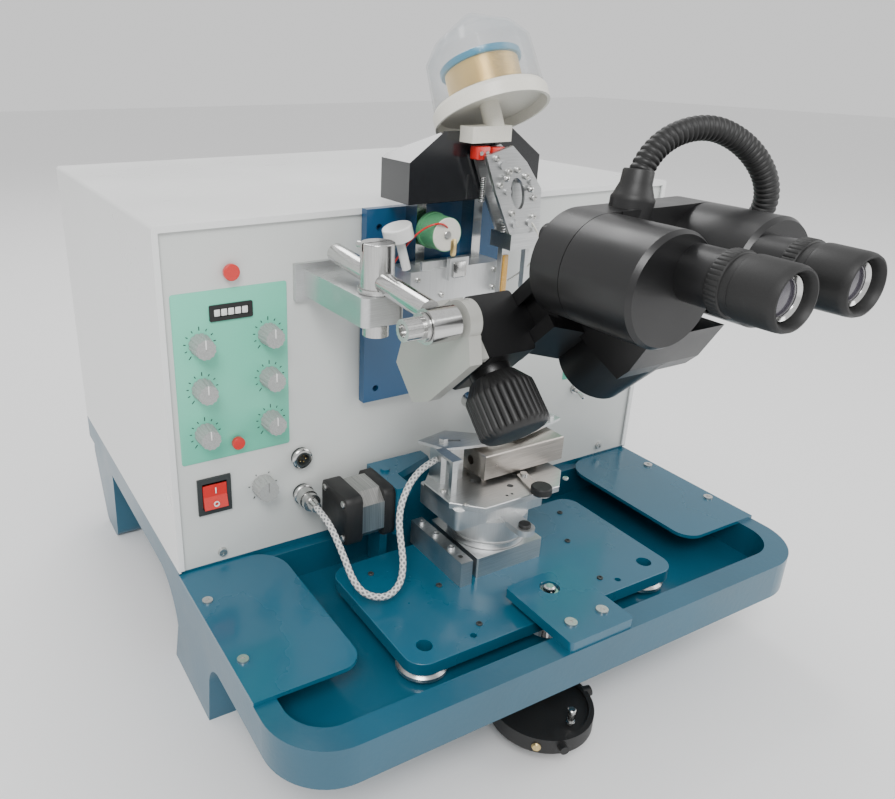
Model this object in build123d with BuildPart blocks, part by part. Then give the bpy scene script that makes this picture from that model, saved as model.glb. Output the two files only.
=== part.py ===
from build123d import *
import math
import os

os.makedirs("parts", exist_ok=True)

# Driving dimensions in millimetres. Heights are counted from the deck on which the hood stands,
# depths from the control panel (towards the operator is negative), widths from the centre line.
hood_width = 480
hood_depth = 332
hood_height = 272
foot_height = 104
eyepiece_reach = 302
half_width = hood_width / 2

# The origin is on the bench, midway between the back of the hood and the rim of the eyepieces.
panel_y = (eyepiece_reach - hood_depth) / 2
deck = Plane(origin=(0, panel_y, foot_height))
front = Plane(origin=deck.origin, x_dir=(1, 0, 0), z_dir=(0, -1, 0))
side = Plane(origin=deck.origin, x_dir=(0, 1, 0), z_dir=(1, 0, 0))


def at(x, y, z):
    """A point counted from the middle of the panel's foot."""
    return Vector(x, panel_y + y, foot_height + z)


def facing(x, y, z, normal):
    """A drawing plane at such a point, with its first axis as level as the normal allows."""
    return Plane(origin=at(x, y, z), x_dir=(1, 0, 0), z_dir=normal)


# Base casting
rim_top = -5
rim_width = 16
apron_front = -210
apron_radius = 45
casting_bottom = -36
tray_floor = -32
tray_back = -8
tray_front = apron_front + 19
deck_skin = 5
deck_depth = 25
leg_thickness = 25
way_x = 62
way_width = 6
way_length = 84
way_middle = -92
way_top = -26
lever_x = 3
lever_y = -153
lever_hole_radius = 16

with BuildPart() as base_casting:
    with BuildSketch(deck.offset(casting_bottom)):
        with BuildLine():
            Line((-half_width, 0), (-half_width, apron_front + apron_radius))
            RadiusArc(
                (-half_width, apron_front + apron_radius),
                (-half_width + apron_radius, apron_front),
                -apron_radius,
            )
            Line((-half_width + apron_radius, apron_front), (0, apron_front))
            Line((0, apron_front), (0, 0))
            Line((0, 0), (-half_width, 0))
        make_face()
        mirror(about=Plane.YZ)
    extrude(amount=rim_top - casting_bottom)
    with BuildSketch(deck.offset(-deck_depth)):
        with Locations((0, hood_depth / 2)):
            Rectangle(hood_width, hood_depth)
    extrude(amount=deck_depth)
    with BuildSketch(deck.offset(-deck_depth)):
        with Locations((0, hood_depth / 2)):
            Rectangle(hood_width - 2 * rim_width, hood_depth - 2 * rim_width)
    extrude(amount=deck_depth - deck_skin, mode=Mode.SUBTRACT)
    with BuildSketch(deck.offset(tray_floor)) as tray:
        with Locations((0, (tray_back + tray_front) / 2)):
            Rectangle(hood_width - 2 * rim_width, tray_back - tray_front)
        fillet(tray.vertices().group_by(Axis.Y)[0], radius=apron_radius - rim_width)
        fillet(tray.vertices().group_by(Axis.Y)[-1], radius=6)
    extrude(amount=rim_top - tray_floor, mode=Mode.SUBTRACT)
    with BuildSketch(side.offset(-half_width)):
        with BuildLine():
            Polyline((66, -20), (-92, -20), (-92, -35))
            ThreePointArc((-92, -35), (-70, -43), (-61, -62))
            Polyline((-61, -62), (-54, -foot_height), (30, -foot_height), (15, -62))
            ThreePointArc((15, -62), (30, -36), (66, -25))
            Line((66, -25), (66, -20))
        make_face()
    extrude(amount=leg_thickness)
    with BuildSketch(side.offset(-half_width)) as rear_leg:
        with BuildLine():
            Polyline((318, -20), (276, -foot_height), (232, -foot_height), (224, -20), (318, -20))
        make_face()
        fillet(rear_leg.vertices().group_by(Axis.Z)[0], radius=12)
    extrude(amount=leg_thickness)
    mirror(about=Plane.YZ)
    with BuildSketch(deck.offset(casting_bottom)):
        with Locations((lever_x, lever_y)):
            Circle(lever_hole_radius)
    extrude(amount=tray_floor - casting_bottom, mode=Mode.SUBTRACT)

# The two ground ways stand on the tray floor as solids of their own
with BuildPart() as ways:
    with BuildSketch(deck.offset(tray_floor)):
        with Locations((-way_x, way_middle), (way_x, way_middle)):
            Rectangle(way_width, way_length)
    extrude(amount=way_top - tray_floor)
casting_and_ways = Compound(label="base_casting", children=[base_casting.part.solid(), *ways.part.solids()])
export_step(casting_and_ways, "parts/base_casting.step")


# Cover plates over the two ends of the tray
cover_inner = 158
cover_front = -153
cover_thickness = 3
cover_screw_x = 231
cover_screw_y = (-42, -113)

with BuildPart() as cover_plates:
    with BuildSketch(deck.offset(rim_top)) as cover_outline:
        with Locations(((half_width + cover_inner) / 2, cover_front / 2)):
            Rectangle(half_width - cover_inner, -cover_front - 1)
        inner_corners = cover_outline.vertices().group_by(Axis.X)[0].sort_by(Axis.Y)
        fillet(inner_corners[0], radius=16)
        back_corner = cover_outline.vertices().group_by(Axis.Y)[-1].sort_by(Axis.X)[0]
        fillet(back_corner, radius=28)
        with Locations(*[(cover_screw_x, y) for y in cover_screw_y]):
            Circle(2.2, mode=Mode.SUBTRACT)
    extrude(amount=cover_thickness)
    mirror(about=Plane.YZ)
cover_plates.part.label = "cover_plates"
export_step(cover_plates.part, "parts/cover_plates.step")


# Bridge tab that spans from the front rim over the platform and carries the manipulator's pivot
tab_half = 30
tab_back = -136
tab_thickness = 8
tab_screw_y = -192
pivot_z = -1
gimbal_pin_radius = 1
gimbal_bore = 7.6

with BuildPart() as bridge_tab:
    with BuildSketch(deck.offset(rim_top)) as tab_outline:
        with Locations((lever_x, (tab_back + apron_front) / 2)):
            Rectangle(2 * tab_half, tab_back - apron_front - 2)
        fillet(tab_outline.vertices(), radius=3)
        with Locations((lever_x, lever_y)):
            Circle(gimbal_bore, mode=Mode.SUBTRACT)
        with Locations((lever_x - 15, tab_screw_y), (lever_x + 15, tab_screw_y)):
            Circle(2.7, mode=Mode.SUBTRACT)
    extrude(amount=tab_thickness)
    with BuildSketch(side.offset(lever_x - gimbal_bore - 5)):
        with Locations((lever_y, pivot_z)):
            Circle(gimbal_pin_radius + 0.06)
    extrude(amount=2 * gimbal_bore + 10, mode=Mode.SUBTRACT)
bridge_tab.part.label = "bridge_tab"
export_step(bridge_tab.part, "parts/bridge_tab.step")


# Screws of the covers, the tab and the panel, all with a socket or a cross recess in the head
panel_screw_places = [(-203, 8), (203, 8)]

with BuildPart() as screws:
    for height, places, shank in (
        (rim_top + cover_thickness, [(s * cover_screw_x, y) for s in (-1, 1) for y in cover_screw_y], 2.1),
        (rim_top + tab_thickness, [(lever_x - 15, tab_screw_y), (lever_x + 15, tab_screw_y)], 2.6),
    ):
        with BuildSketch(deck.offset(height)):
            with Locations(*places):
                Circle(shank + 1.9)
        extrude(amount=1.6)
        with BuildSketch(deck.offset(height)):
            with Locations(*places):
                Circle(shank)
        extrude(amount=-(height - rim_top))
        with BuildSketch(deck.offset(height + 1.6)):
            with Locations(*places):
                RegularPolygon(radius=1.7, side_count=6)
        extrude(amount=-1, mode=Mode.SUBTRACT)
    with BuildSketch(front):
        with Locations(*panel_screw_places):
            Circle(4)
    extrude(amount=2.4, taper=18)
    with BuildSketch(front.offset(2.4)):
        with Locations(*panel_screw_places):
            Rectangle(4.4, 0.8)
            Rectangle(0.8, 4.4)
    extrude(amount=-1, mode=Mode.SUBTRACT)
screws.part.label = "screws"
export_step(screws.part, "parts/screws.step")


# Sheet-metal hood with a folded lip round its open front
sheet = 1.5
lip = 2.5

with BuildPart() as hood:
    with BuildSketch(deck):
        with Locations((0, (hood_depth - lip) / 2)):
            Rectangle(hood_width, hood_depth + lip)
    extrude(amount=hood_height)
    fillet(hood.edges().filter_by(Axis.Y).group_by(Axis.Z)[-1], radius=3)
    offset(amount=-sheet, openings=[hood.faces().sort_by(Axis.Y)[0], hood.faces().sort_by(Axis.Z)[0]])
    with BuildSketch(front.offset(lip)):
        with Locations((0, hood_height - sheet - 1.5)):
            Rectangle(hood_width - 2 * sheet, 3)
        for s in (-1, 1):
            with Locations((s * (half_width - sheet - 1.5), hood_height / 2)):
                Rectangle(3, hood_height - 2 * sheet)
    extrude(amount=-1.5)
hood.part.label = "hood"
export_step(hood.part, "parts/hood.step")


# Control positions on the panel: first across, then up
knob_columns = (-211, -158)
knob_rows = (185.5, 151, 115)
rocker_place = (-207, 61.7)
rocker_size = (27, 31)
brightness_place = (-166.5, 59.3)
reset_place = (-186, 236)
test_place = (-186.6, 103)
upper_socket_place = (-133.3, 76.9)
lower_socket_place = (-132.3, 43.5)
right_knob_place = (200, 108)
counter_place = (-186.4, 207)
display_place = (172, 206)
shaft_hole = 4.2
socket_radius = 8

panel_thickness = 2
with BuildPart() as front_panel:
    with BuildSketch(front.offset(-panel_thickness)) as panel_outline:
        with Locations((0, (hood_height - sheet - 0.4) / 2)):
            Rectangle(hood_width - 2 * sheet - 0.4, hood_height - sheet - 0.4)
        fillet(panel_outline.vertices().group_by(Axis.Z)[-1], radius=2)
        with Locations(*[(x, z) for x in knob_columns for z in knob_rows]):
            Circle(shaft_hole, mode=Mode.SUBTRACT)
        with Locations(brightness_place, reset_place, test_place, right_knob_place):
            Circle(shaft_hole, mode=Mode.SUBTRACT)
        with Locations(upper_socket_place, lower_socket_place):
            Circle(socket_radius - 1, mode=Mode.SUBTRACT)
        with Locations(rocker_place):
            Rectangle(rocker_size[0] - 4, rocker_size[1] - 4, mode=Mode.SUBTRACT)
        with Locations(counter_place, display_place):
            Rectangle(27, 8, mode=Mode.SUBTRACT)
    extrude(amount=panel_thickness)
front_panel.part.label = "front_panel"
export_step(front_panel.part, "parts/front_panel.step")


# Framed windows of the counter and of the display
with BuildPart() as display_windows:
    with BuildSketch(front):
        with Locations(counter_place, display_place):
            RectangleRounded(33, 12, 1.2)
    extrude(amount=1.6)
    with BuildSketch(front.offset(1.6)):
        with Locations(counter_place, display_place):
            Rectangle(27, 6)
    extrude(amount=-0.8, mode=Mode.SUBTRACT)
    with BuildSketch(front):
        with Locations(counter_place, display_place):
            Rectangle(26, 7)
    extrude(amount=-9)
display_windows.part.label = "display_windows"
export_step(display_windows.part, "parts/display_windows.step")


# Bezel of the mains switch and the two round connectors of the panel
with BuildPart() as panel_fittings:
    with BuildSketch(front):
        with Locations(rocker_place):
            Rectangle(*rocker_size)
            Rectangle(rocker_size[0] - 7, rocker_size[1] - 8, mode=Mode.SUBTRACT)
    extrude(amount=2)
    with BuildSketch(front):
        with Locations(rocker_place):
            Rectangle(rocker_size[0] - 4.2, rocker_size[1] - 4.2)
            Rectangle(rocker_size[0] - 7, rocker_size[1] - 8, mode=Mode.SUBTRACT)
    extrude(amount=-14)
    with BuildSketch(front):
        with Locations(upper_socket_place, lower_socket_place):
            Circle(socket_radius)
    extrude(amount=3)
    with BuildSketch(front.offset(3)):
        with Locations(upper_socket_place, lower_socket_place):
            Circle(socket_radius - 2)
    extrude(amount=4)
    with BuildSketch(front.offset(7)):
        with Locations(upper_socket_place):
            Circle(socket_radius - 3)
    extrude(amount=-5, mode=Mode.SUBTRACT)
    with BuildSketch(front):
        with Locations(upper_socket_place, lower_socket_place):
            Circle(socket_radius - 1.2)
    extrude(amount=-14)
panel_fittings.part.label = "panel_fittings"
export_step(panel_fittings.part, "parts/panel_fittings.step")


# Rocker of the mains switch: a shallow V on a cross pin
rocker_half = rocker_size[1] / 2 - 5.5
with BuildPart() as rocker:
    with BuildSketch(side.offset(rocker_place[0] - (rocker_size[0] - 8) / 2)):
        with BuildLine():
            Polyline(
                (-5.1, rocker_place[1] - rocker_half),
                (-2.6, rocker_place[1]),
                (-2.4, rocker_place[1] + rocker_half),
                (3, rocker_place[1] + rocker_half - 2),
                (8, rocker_place[1] + 3),
                (8, rocker_place[1] - 3),
                (3, rocker_place[1] - rocker_half + 2),
                close=True,
            )
        make_face()
    extrude(amount=rocker_size[0] - 8)
rocker.part.label = "rocker"
export_step(rocker.part, "parts/rocker.step")


def control_knob(label, place, radius, length):
    """A knob with a fluted skirt, a domed face and a pointer groove, on the shaft of its control."""
    spot = front.offset(0.6)
    with BuildPart() as knob:
        with BuildSketch(spot):
            with Locations(place):
                Circle(radius)
                with PolarLocations(radius + 0.5, 12):
                    Circle(1.1, mode=Mode.SUBTRACT)
        extrude(amount=length, taper=4)
        with BuildSketch(spot.offset(length)):
            with Locations((place[0], place[1] + radius / 2)):
                Rectangle(0.9, radius)
        extrude(amount=-1, mode=Mode.SUBTRACT)
        with BuildSketch(spot):
            with Locations(place):
                Circle(3)
        extrude(amount=-12)
    knob.part.label = label
    export_step(knob.part, f"parts/{label}.step")


number = 1
for knob_z in knob_rows:
    for knob_x in knob_columns:
        control_knob(f"knob_{number}", (knob_x, knob_z), 8.5, 14)
        number += 1
control_knob("brightness_knob", brightness_place, 9.5, 13)
control_knob("right_knob", right_knob_place, 7, 11)


def push_button(label, place, radius):
    """A round push button whose cap stands proud of the panel on a thin stem."""
    with BuildPart() as button:
        with BuildSketch(front.offset(2.6)):
            with Locations(place):
                Circle(radius)
        extrude(amount=3.4)
        fillet(button.edges().group_by(Axis.Y)[0], radius=0.8)
        with BuildSketch(front.offset(2.6)):
            with Locations(place):
                Circle(2.6)
        extrude(amount=-14)
    button.part.label = label
    export_step(button.part, f"parts/{label}.step")


push_button("reset_button", reset_place, 6)
push_button("test_button", test_place, 5)


# Power supply on the deck inside the hood: transformer core, winding and circuit board
with BuildPart() as power_supply:
    with BuildSketch(deck.offset(0.2)):
        with Locations((-120, 200)):
            Rectangle(96, 46)
    extrude(amount=80)
    with BuildSketch(deck.offset(14)):
        with Locations((-120, 200)):
            RectangleRounded(64, 78, 14)
    extrude(amount=52)
    with BuildSketch(deck.offset(12)):
        with Locations((95, 190)):
            Rectangle(190, 130)
    extrude(amount=1.6)
    with BuildSketch(deck.offset(0.2)):
        with Locations((95, 190)):
            with GridLocations(170, 110, 2, 2):
                Circle(3)
    extrude(amount=11.8)
power_supply.part.label = "power_supply"
export_step(power_supply.part, "parts/power_supply.step")


# Cross slide that runs on the ways of the tray, and the platform that runs across on it
slip = 0.12
slide_bottom = tray_floor + 0.5
platform_top = -10
platform_bottom = -20
cross_way_y = (-64, -118)
cross_way_top = -17

with BuildPart() as cross_slide:
    with BuildSketch(deck.offset(slide_bottom)) as slide_outline:
        with Locations((0, -91)):
            Rectangle(2 * way_x + 26, 72)
            Rectangle(2 * way_x - 26, 36, mode=Mode.SUBTRACT)
        fillet(slide_outline.vertices(), radius=4)
    extrude(amount=platform_bottom - 0.5 - slide_bottom)
    with BuildSketch(deck.offset(slide_bottom)):
        with Locations((-way_x, -91), (way_x, -91)):
            Rectangle(way_width + 2 * slip, 80)
    extrude(amount=way_top + slip - slide_bottom, mode=Mode.SUBTRACT)
    with BuildSketch(deck.offset(platform_bottom - 0.5)):
        with Locations(*[(0, y) for y in cross_way_y]):
            Rectangle(2 * way_x + 20, way_width)
    extrude(amount=cross_way_top - platform_bottom + 0.5)
cross_slide.part.label = "cross_slide"
export_step(cross_slide.part, "parts/cross_slide.step")

platform_half = 128
platform_front = -168
platform_back = -40
ball_radius = 5.5
ball_bore = 5.75
glide_place = (108.7, -148)

with BuildPart() as platform:
    with BuildSketch(deck.offset(platform_bottom)) as platform_outline:
        with Locations((0, (platform_front + platform_back) / 2)):
            Rectangle(2 * platform_half, platform_back - platform_front)
        fillet(platform_outline.vertices(), radius=15)
        with Locations((-glide_place[0], glide_place[1] - 2.3), (glide_place[0], glide_place[1] - 2.3)):
            Circle(6, mode=Mode.SUBTRACT)
        with Locations((-71.3, -158), (71.3, -158)):
            Circle(2.5, mode=Mode.SUBTRACT)
        with Locations((lever_x, lever_y)):
            Circle(ball_bore, mode=Mode.SUBTRACT)
    extrude(amount=platform_top - platform_bottom)
    fillet(platform.faces().sort_by(Axis.Z)[-1].outer_wire().edges(), radius=0.8)
    with BuildSketch(deck.offset(platform_bottom)):
        with Locations(*[(0, y) for y in cross_way_y]):
            Rectangle(2 * way_x + 34, way_width + 2 * slip)
    extrude(amount=cross_way_top + slip - platform_bottom, mode=Mode.SUBTRACT)
platform.part.label = "platform"
export_step(platform.part, "parts/platform.step")

with BuildPart() as platform_glides:
    for s in (-1, 1):
        with BuildSketch(Plane(origin=at(s * glide_place[0], glide_place[1], 0), x_dir=(1, 0, 0), z_dir=(0, -1, 0))):
            with BuildLine():
                Polyline(
                    (8, platform_bottom), (17, platform_bottom), (17, -24), (19, -26),
                    (19, -28.4), (17.5, -30.6), (13, -30.6), (13, -24), (8, -24), close=True,
                )
            make_face()
        revolve(axis=Axis(at(s * glide_place[0], glide_place[1], 0), (0, 0, 1)))
platform_glides.part.label = "platform_glides"
export_step(platform_glides.part, "parts/platform_glides.step")


# Manipulator: a two-axis gimbal in the tab, the lever whose ball drives the platform, and the hand puck
with BuildPart() as lever_gimbal:
    with BuildSketch(deck.offset(pivot_z - 2)):
        with Locations((lever_x, lever_y)):
            Circle(6.8)
            Circle(4.8, mode=Mode.SUBTRACT)
    extrude(amount=4)
    with BuildSketch(side.offset(lever_x + 5.5)):
        with Locations((lever_y, pivot_z)):
            Circle(gimbal_pin_radius)
    extrude(amount=6)
    with BuildSketch(side.offset(lever_x - 5.5)):
        with Locations((lever_y, pivot_z)):
            Circle(gimbal_pin_radius)
    extrude(amount=-6)
    with BuildSketch(front.offset(-lever_y - 7)):
        with Locations((lever_x, pivot_z)):
            Circle(gimbal_pin_radius + 0.06)
    extrude(amount=14, mode=Mode.SUBTRACT)
lever_gimbal.part.label = "lever_gimbal"
export_step(lever_gimbal.part, "parts/lever_gimbal.step")

ball_z = -15
neck_rise = math.sqrt(ball_radius**2 - 2.6**2)
puck_x = -20
puck_y = -181
puck_bottom = -88
puck_top = -74

with BuildPart() as manipulator_lever:
    with BuildSketch(Plane(origin=at(lever_x, lever_y, 0), x_dir=(1, 0, 0), z_dir=(0, -1, 0))):
        with BuildLine():
            Line((0, 4.6), (0, puck_top))
            Line((0, puck_top), (4, puck_top))
            Line((4, puck_top), (4, -34))
            Line((4, -34), (2.6, -26))
            Line((2.6, -26), (2.6, ball_z - neck_rise))
            ThreePointArc((2.6, ball_z - neck_rise), (ball_radius, ball_z), (2.6, ball_z + neck_rise))
            Polyline((2.6, ball_z + neck_rise), (2.6, 2.4), (4.2, 2.4), (4.2, 3.6), (3, 4.6), (0, 4.6))
        make_face()
    revolve(axis=Axis(at(lever_x, lever_y, 0), (0, 0, 1)))
    with BuildSketch(front.offset(-lever_y - 6.6)):
        with Locations((lever_x, pivot_z)):
            Circle(gimbal_pin_radius)
    extrude(amount=13.2)
manipulator_lever.part.label = "manipulator_lever"
export_step(manipulator_lever.part, "parts/manipulator_lever.step")

puck_radius = 39
with BuildPart() as manipulator_puck:
    with BuildSketch(deck.offset(puck_bottom)):
        with Locations((puck_x, puck_y)):
            Circle(puck_radius)
    extrude(amount=puck_top - puck_bottom)
    fillet(manipulator_puck.edges().group_by(Axis.Z)[0], radius=2.5)
    with BuildSketch(deck.offset(puck_top)):
        with Locations((puck_x, puck_y)):
            Circle(puck_radius - 4)
    extrude(amount=-3, mode=Mode.SUBTRACT)
    with BuildSketch(deck.offset(puck_top - 3)):
        with Locations((lever_x, lever_y)):
            Circle(9)
    extrude(amount=3, mode=Mode.ADD)
    with BuildSketch(deck.offset(puck_top - 10)):
        with Locations((puck_x + 20, puck_y + 8)):
            Circle(3)
    extrude(amount=24)
    with BuildSketch(facing(puck_x - 12, puck_y - puck_radius + 3, puck_bottom + 9, (-0.3, -0.95, 0))):
        Circle(3.4)
    extrude(amount=6)
    with BuildSketch(facing(puck_x + 36, puck_y - 6, puck_bottom + 11, (0.97, -0.2, 0))):
        Circle(4)
    extrude(amount=7)
manipulator_puck.part.label = "manipulator_puck"
export_step(manipulator_puck.part, "parts/manipulator_puck.step")


# Blocks that carry the turntable: the square base and the guide bar beside it
turn_x = 5
turn_y = -71
block_half = 33
block_top = 8

with BuildPart() as stage_blocks:
    with BuildSketch(deck.offset(platform_top)):
        with Locations((turn_x, turn_y)):
            Rectangle(2 * block_half, 2 * block_half)
    extrude(amount=block_top - platform_top)
    chamfer(stage_blocks.edges().filter_by(Axis.Z), length=1)
    with BuildSketch(deck.offset(block_top)):
        with Locations((turn_x, turn_y)):
            Circle(9)
    extrude(amount=14)
    with BuildSketch(deck.offset(platform_top)):
        with Locations((-41.5, -72)):
            Rectangle(11, 72)
    extrude(amount=22)
    with BuildSketch(deck.offset(12)):
        with Locations((-41.5, -44), (-41.5, -64), (-41.5, -86)):
            Circle(3.2)
    extrude(amount=2.4)
    with BuildSketch(deck.offset(14.4)):
        with Locations((-41.5, -44), (-41.5, -64), (-41.5, -86)):
            RegularPolygon(radius=1.8, side_count=6)
    extrude(amount=-1.6, mode=Mode.SUBTRACT)
    with BuildSketch(deck.offset(12)):
        with Locations((-41.5, -99)):
            Circle(2)
    extrude(amount=-10, mode=Mode.SUBTRACT)
stage_blocks.part.label = "stage_blocks"
export_step(stage_blocks.part, "parts/stage_blocks.step")


# Turntable ring with its clamping tab
ring_bottom = block_top + 0.4
ring_top = 34
table_bottom = 51
table_top = 56

with BuildPart() as rotary_ring:
    with BuildSketch(facing(turn_x, turn_y, 0, (0, -1, 0))):
        with BuildLine():
            Polyline(
                (9.08, ring_bottom), (32, ring_bottom), (32, ring_bottom + 5), (30, ring_bottom + 5),
                (30, ring_bottom + 7), (33, ring_bottom + 8), (33, ring_top), (20, ring_top),
                (20, ring_bottom + 16), (9.08, ring_bottom + 16), close=True,
            )
        make_face()
    revolve(axis=Axis(at(turn_x, turn_y, 0), (0, 0, 1)))
    with BuildSketch(deck.offset(ring_top)):
        with Locations((turn_x - 6, turn_y + 2)):
            RectangleRounded(88, 54, 4)
    extrude(amount=table_bottom - ring_top)
    with BuildSketch(deck.offset(ring_top - 3)):
        with BuildLine():
            Polyline((turn_x - 8, turn_y - 20), (turn_x - 8, turn_y - 46))
            RadiusArc((turn_x - 8, turn_y - 46), (turn_x + 8, turn_y - 46), -8)
            Polyline((turn_x + 8, turn_y - 46), (turn_x + 8, turn_y - 20), (turn_x - 8, turn_y - 20))
        make_face()
        with Locations((turn_x, turn_y - 46)):
            Circle(2.5, mode=Mode.SUBTRACT)
    extrude(amount=5)
rotary_ring.part.label = "rotary_ring"
export_step(rotary_ring.part, "parts/rotary_ring.step")


# Work table: a plate with its corners cut off, tapped for holders
table_left = -47
table_right = 67
table_front = -107
table_back = -32
corner_cut = 20
clamp_pivot = (31, -82)

with BuildPart() as work_table:
    with BuildSketch(deck.offset(table_bottom)) as table_outline:
        with Locations(((table_left + table_right) / 2, (table_front + table_back) / 2)):
            Rectangle(table_right - table_left, table_back - table_front)
        chamfer(table_outline.vertices(), length=corner_cut)
        with Locations((12, -88), (-10, -68)):
            Circle(2.6, mode=Mode.SUBTRACT)
        with Locations((0, -99), (5, -99)):
            Circle(1.2, mode=Mode.SUBTRACT)
        with Locations(clamp_pivot):
            Circle(1.46, mode=Mode.SUBTRACT)
    extrude(amount=table_top - table_bottom)
    chamfer(work_table.faces().sort_by(Axis.Z)[-1].outer_wire().edges(), length=0.5)
work_table.part.label = "work_table"
export_step(work_table.part, "parts/work_table.step")


# Heater block on short legs, with a recess for the work piece and a bore for the heating cartridge
heater_left = -6
heater_right = 76
heater_front = -77
heater_back = -40
heater_bottom = 60
heater_top = 81

with BuildPart() as heater_block:
    with BuildSketch(deck.offset(heater_bottom)):
        with Locations(((heater_left + heater_right) / 2, (heater_front + heater_back) / 2)):
            Rectangle(heater_right - heater_left, heater_back - heater_front)
    extrude(amount=heater_top - heater_bottom)
    chamfer(heater_block.faces().sort_by(Axis.Z)[-1].edges(), length=0.8)
    with BuildSketch(deck.offset(table_top)):
        with Locations((heater_left + 6, heater_front + 8), (heater_left + 6, heater_back - 6)):
            Circle(2.5)
        with Locations((56, heater_front + 8), (56, heater_back - 6)):
            Circle(2.5)
    extrude(amount=heater_bottom - table_top)
    with BuildSketch(deck.offset(heater_top)):
        with Locations((22, -58)):
            RectangleRounded(30, 18, 2)
    extrude(amount=-1.2, mode=Mode.SUBTRACT)
    with BuildSketch(side.offset(heater_left)):
        with Locations((-58, 70)):
            Circle(4)
    extrude(amount=70, mode=Mode.SUBTRACT)
heater_block.part.label = "heater_block"
export_step(heater_block.part, "parts/heater_block.step")


# Work clamp: window plate over the heater, carried by two posts and a bridge at its left
with BuildPart() as work_clamp:
    with BuildSketch(deck.offset(84)):
        with BuildLine():
            Polyline(
                (-44, -36), (-32, -58), (-10, -64), (8, -68), (38, -68), (72, -60), (90, -56),
                (90, -46), (38, -48), (8, -48), (-14, -30), close=True,
            )
        make_face()
        with Locations((22, -58)):
            RectangleRounded(26, 14, 2, mode=Mode.SUBTRACT)
        with Locations((-20, -48)):
            Rectangle(16, 3, rotation=-30, mode=Mode.SUBTRACT)
    extrude(amount=2.4)
    with BuildSketch(deck.offset(table_top)):
        with Locations((-26, -52)):
            Rectangle(22, 16)
    extrude(amount=28)
    with BuildSketch(deck.offset(table_top)):
        with Locations((-26, -52)):
            Rectangle(12, 20)
    extrude(amount=20, mode=Mode.SUBTRACT)
    with BuildSketch(deck.offset(table_top)):
        with Locations((-38, -78)):
            Rectangle(5, 4)
    extrude(amount=28)
    with BuildSketch(deck.offset(84)):
        with Locations((-36, -68)):
            Rectangle(9, 24)
    extrude(amount=2.4)
    with BuildSketch(deck.offset(86.4)):
        with Locations((-26, -46), (82, -51)):
            RegularPolygon(radius=4, side_count=6)
    extrude(amount=3)
work_clamp.part.label = "work_clamp"
export_step(work_clamp.part, "parts/work_clamp.step")


# Lever that opens the work clamp: a flat strip with a round finger knob
with BuildPart() as clamp_lever:
    with BuildSketch(deck.offset(table_top + 0.4)):
        with BuildLine():
            Polyline((26, -78.5), (36, -78.5), (28, -112), (18, -112), close=True)
        make_face()
    extrude(amount=2)
    with BuildSketch(deck.offset(table_top + 2.4)):
        with Locations((23, -112)):
            Circle(8)
    extrude(amount=4.5)
    fillet(clamp_lever.edges().group_by(Axis.Z)[-1], radius=1)
    with BuildSketch(deck.offset(table_top + 2.4)):
        with Locations(clamp_pivot):
            Circle(3)
    extrude(amount=1.6)
    with BuildSketch(deck.offset(table_top + 0.4)):
        with Locations(clamp_pivot):
            Circle(1.4)
    extrude(amount=-4.4)
clamp_lever.part.label = "clamp_lever"
export_step(clamp_lever.part, "parts/clamp_lever.step")


# Feed bracket behind the platform and the stepper motor flanged to its left cheek
motor_size = 42.3
motor_right = -74
motor_y = -31
motor_z = 37
with BuildPart() as feed_bracket:
    with BuildSketch(side.offset(motor_right)):
        with BuildLine():
            Polyline((-54, 58), (-10, 58), (-10, tray_floor), (-30, tray_floor), (-30, 8), (-54, 16), close=True)
        make_face()
        with Locations((motor_y, motor_z)):
            Circle(11.2, mode=Mode.SUBTRACT)
    extrude(amount=7)
    with BuildSketch(front.offset(10)):
        with BuildLine():
            Polyline((-74, tray_floor), (-2, tray_floor), (-2, 20), (-20, 58), (-74, 58), close=True)
        make_face()
    extrude(amount=7)
    with BuildSketch(deck.offset(51)):
        with BuildLine():
            Polyline((-74, -6), (-20, -6), (-20, -17), (-60, -32), (-60, -54), (-74, -54), close=True)
        make_face()
        with Locations((-66, -22)):
            Circle(2.5, mode=Mode.SUBTRACT)
    extrude(amount=7)
    with BuildSketch(deck.offset(54)):
        with Locations((-66, -22)):
            Circle(4)
    extrude(amount=6)
feed_bracket.part.label = "feed_bracket"
export_step(feed_bracket.part, "parts/feed_bracket.step")

motor_face = Plane(origin=at(motor_right, motor_y, motor_z), x_dir=(0, 1, 0), z_dir=(-1, 0, 0))
with BuildPart() as stepper_motor:
    for start, length, bevel in ((0, 10, 5), (10.02, 20, 9), (30.04, 14, 5)):
        with BuildSketch(motor_face.offset(start)) as motor_outline:
            Rectangle(motor_size, motor_size)
            chamfer(motor_outline.vertices(), length=bevel)
            if bevel == 5:
                with GridLocations(31, 31, 2, 2):
                    Circle(1.5, mode=Mode.SUBTRACT)
        extrude(amount=length)
    with BuildSketch(motor_face):
        Circle(11)
    extrude(amount=-2)
    with BuildSketch(motor_face.offset(-2)):
        Circle(2.5)
    extrude(amount=-20)
stepper_motor.part.label = "stepper_motor"
export_step(stepper_motor.part, "parts/stepper_motor.step")


# Plug in the lower connector, and the braided heater cable from it to the end of the clamp bridge
cable_radius = 2.6
plug_x, plug_z = lower_socket_place
with BuildPart() as cable_plug:
    with BuildSketch(Plane(origin=at(plug_x, 0, plug_z), x_dir=(0, -1, 0), z_dir=(1, 0, 0))):
        with BuildLine():
            Polyline(
                (7.2, 0), (7.2, 8), (14, 8), (14, 6.4), (16, 6.4), (16, 7.4), (20, 7.4), (20, 5.4),
                (28, 4.2), (28, 0), close=True,
            )
        make_face()
    revolve(axis=Axis(at(plug_x, 0, plug_z), (0, 1, 0)))
cable_plug.part.label = "cable_plug"
export_step(cable_plug.part, "parts/cable_plug.step")

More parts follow.
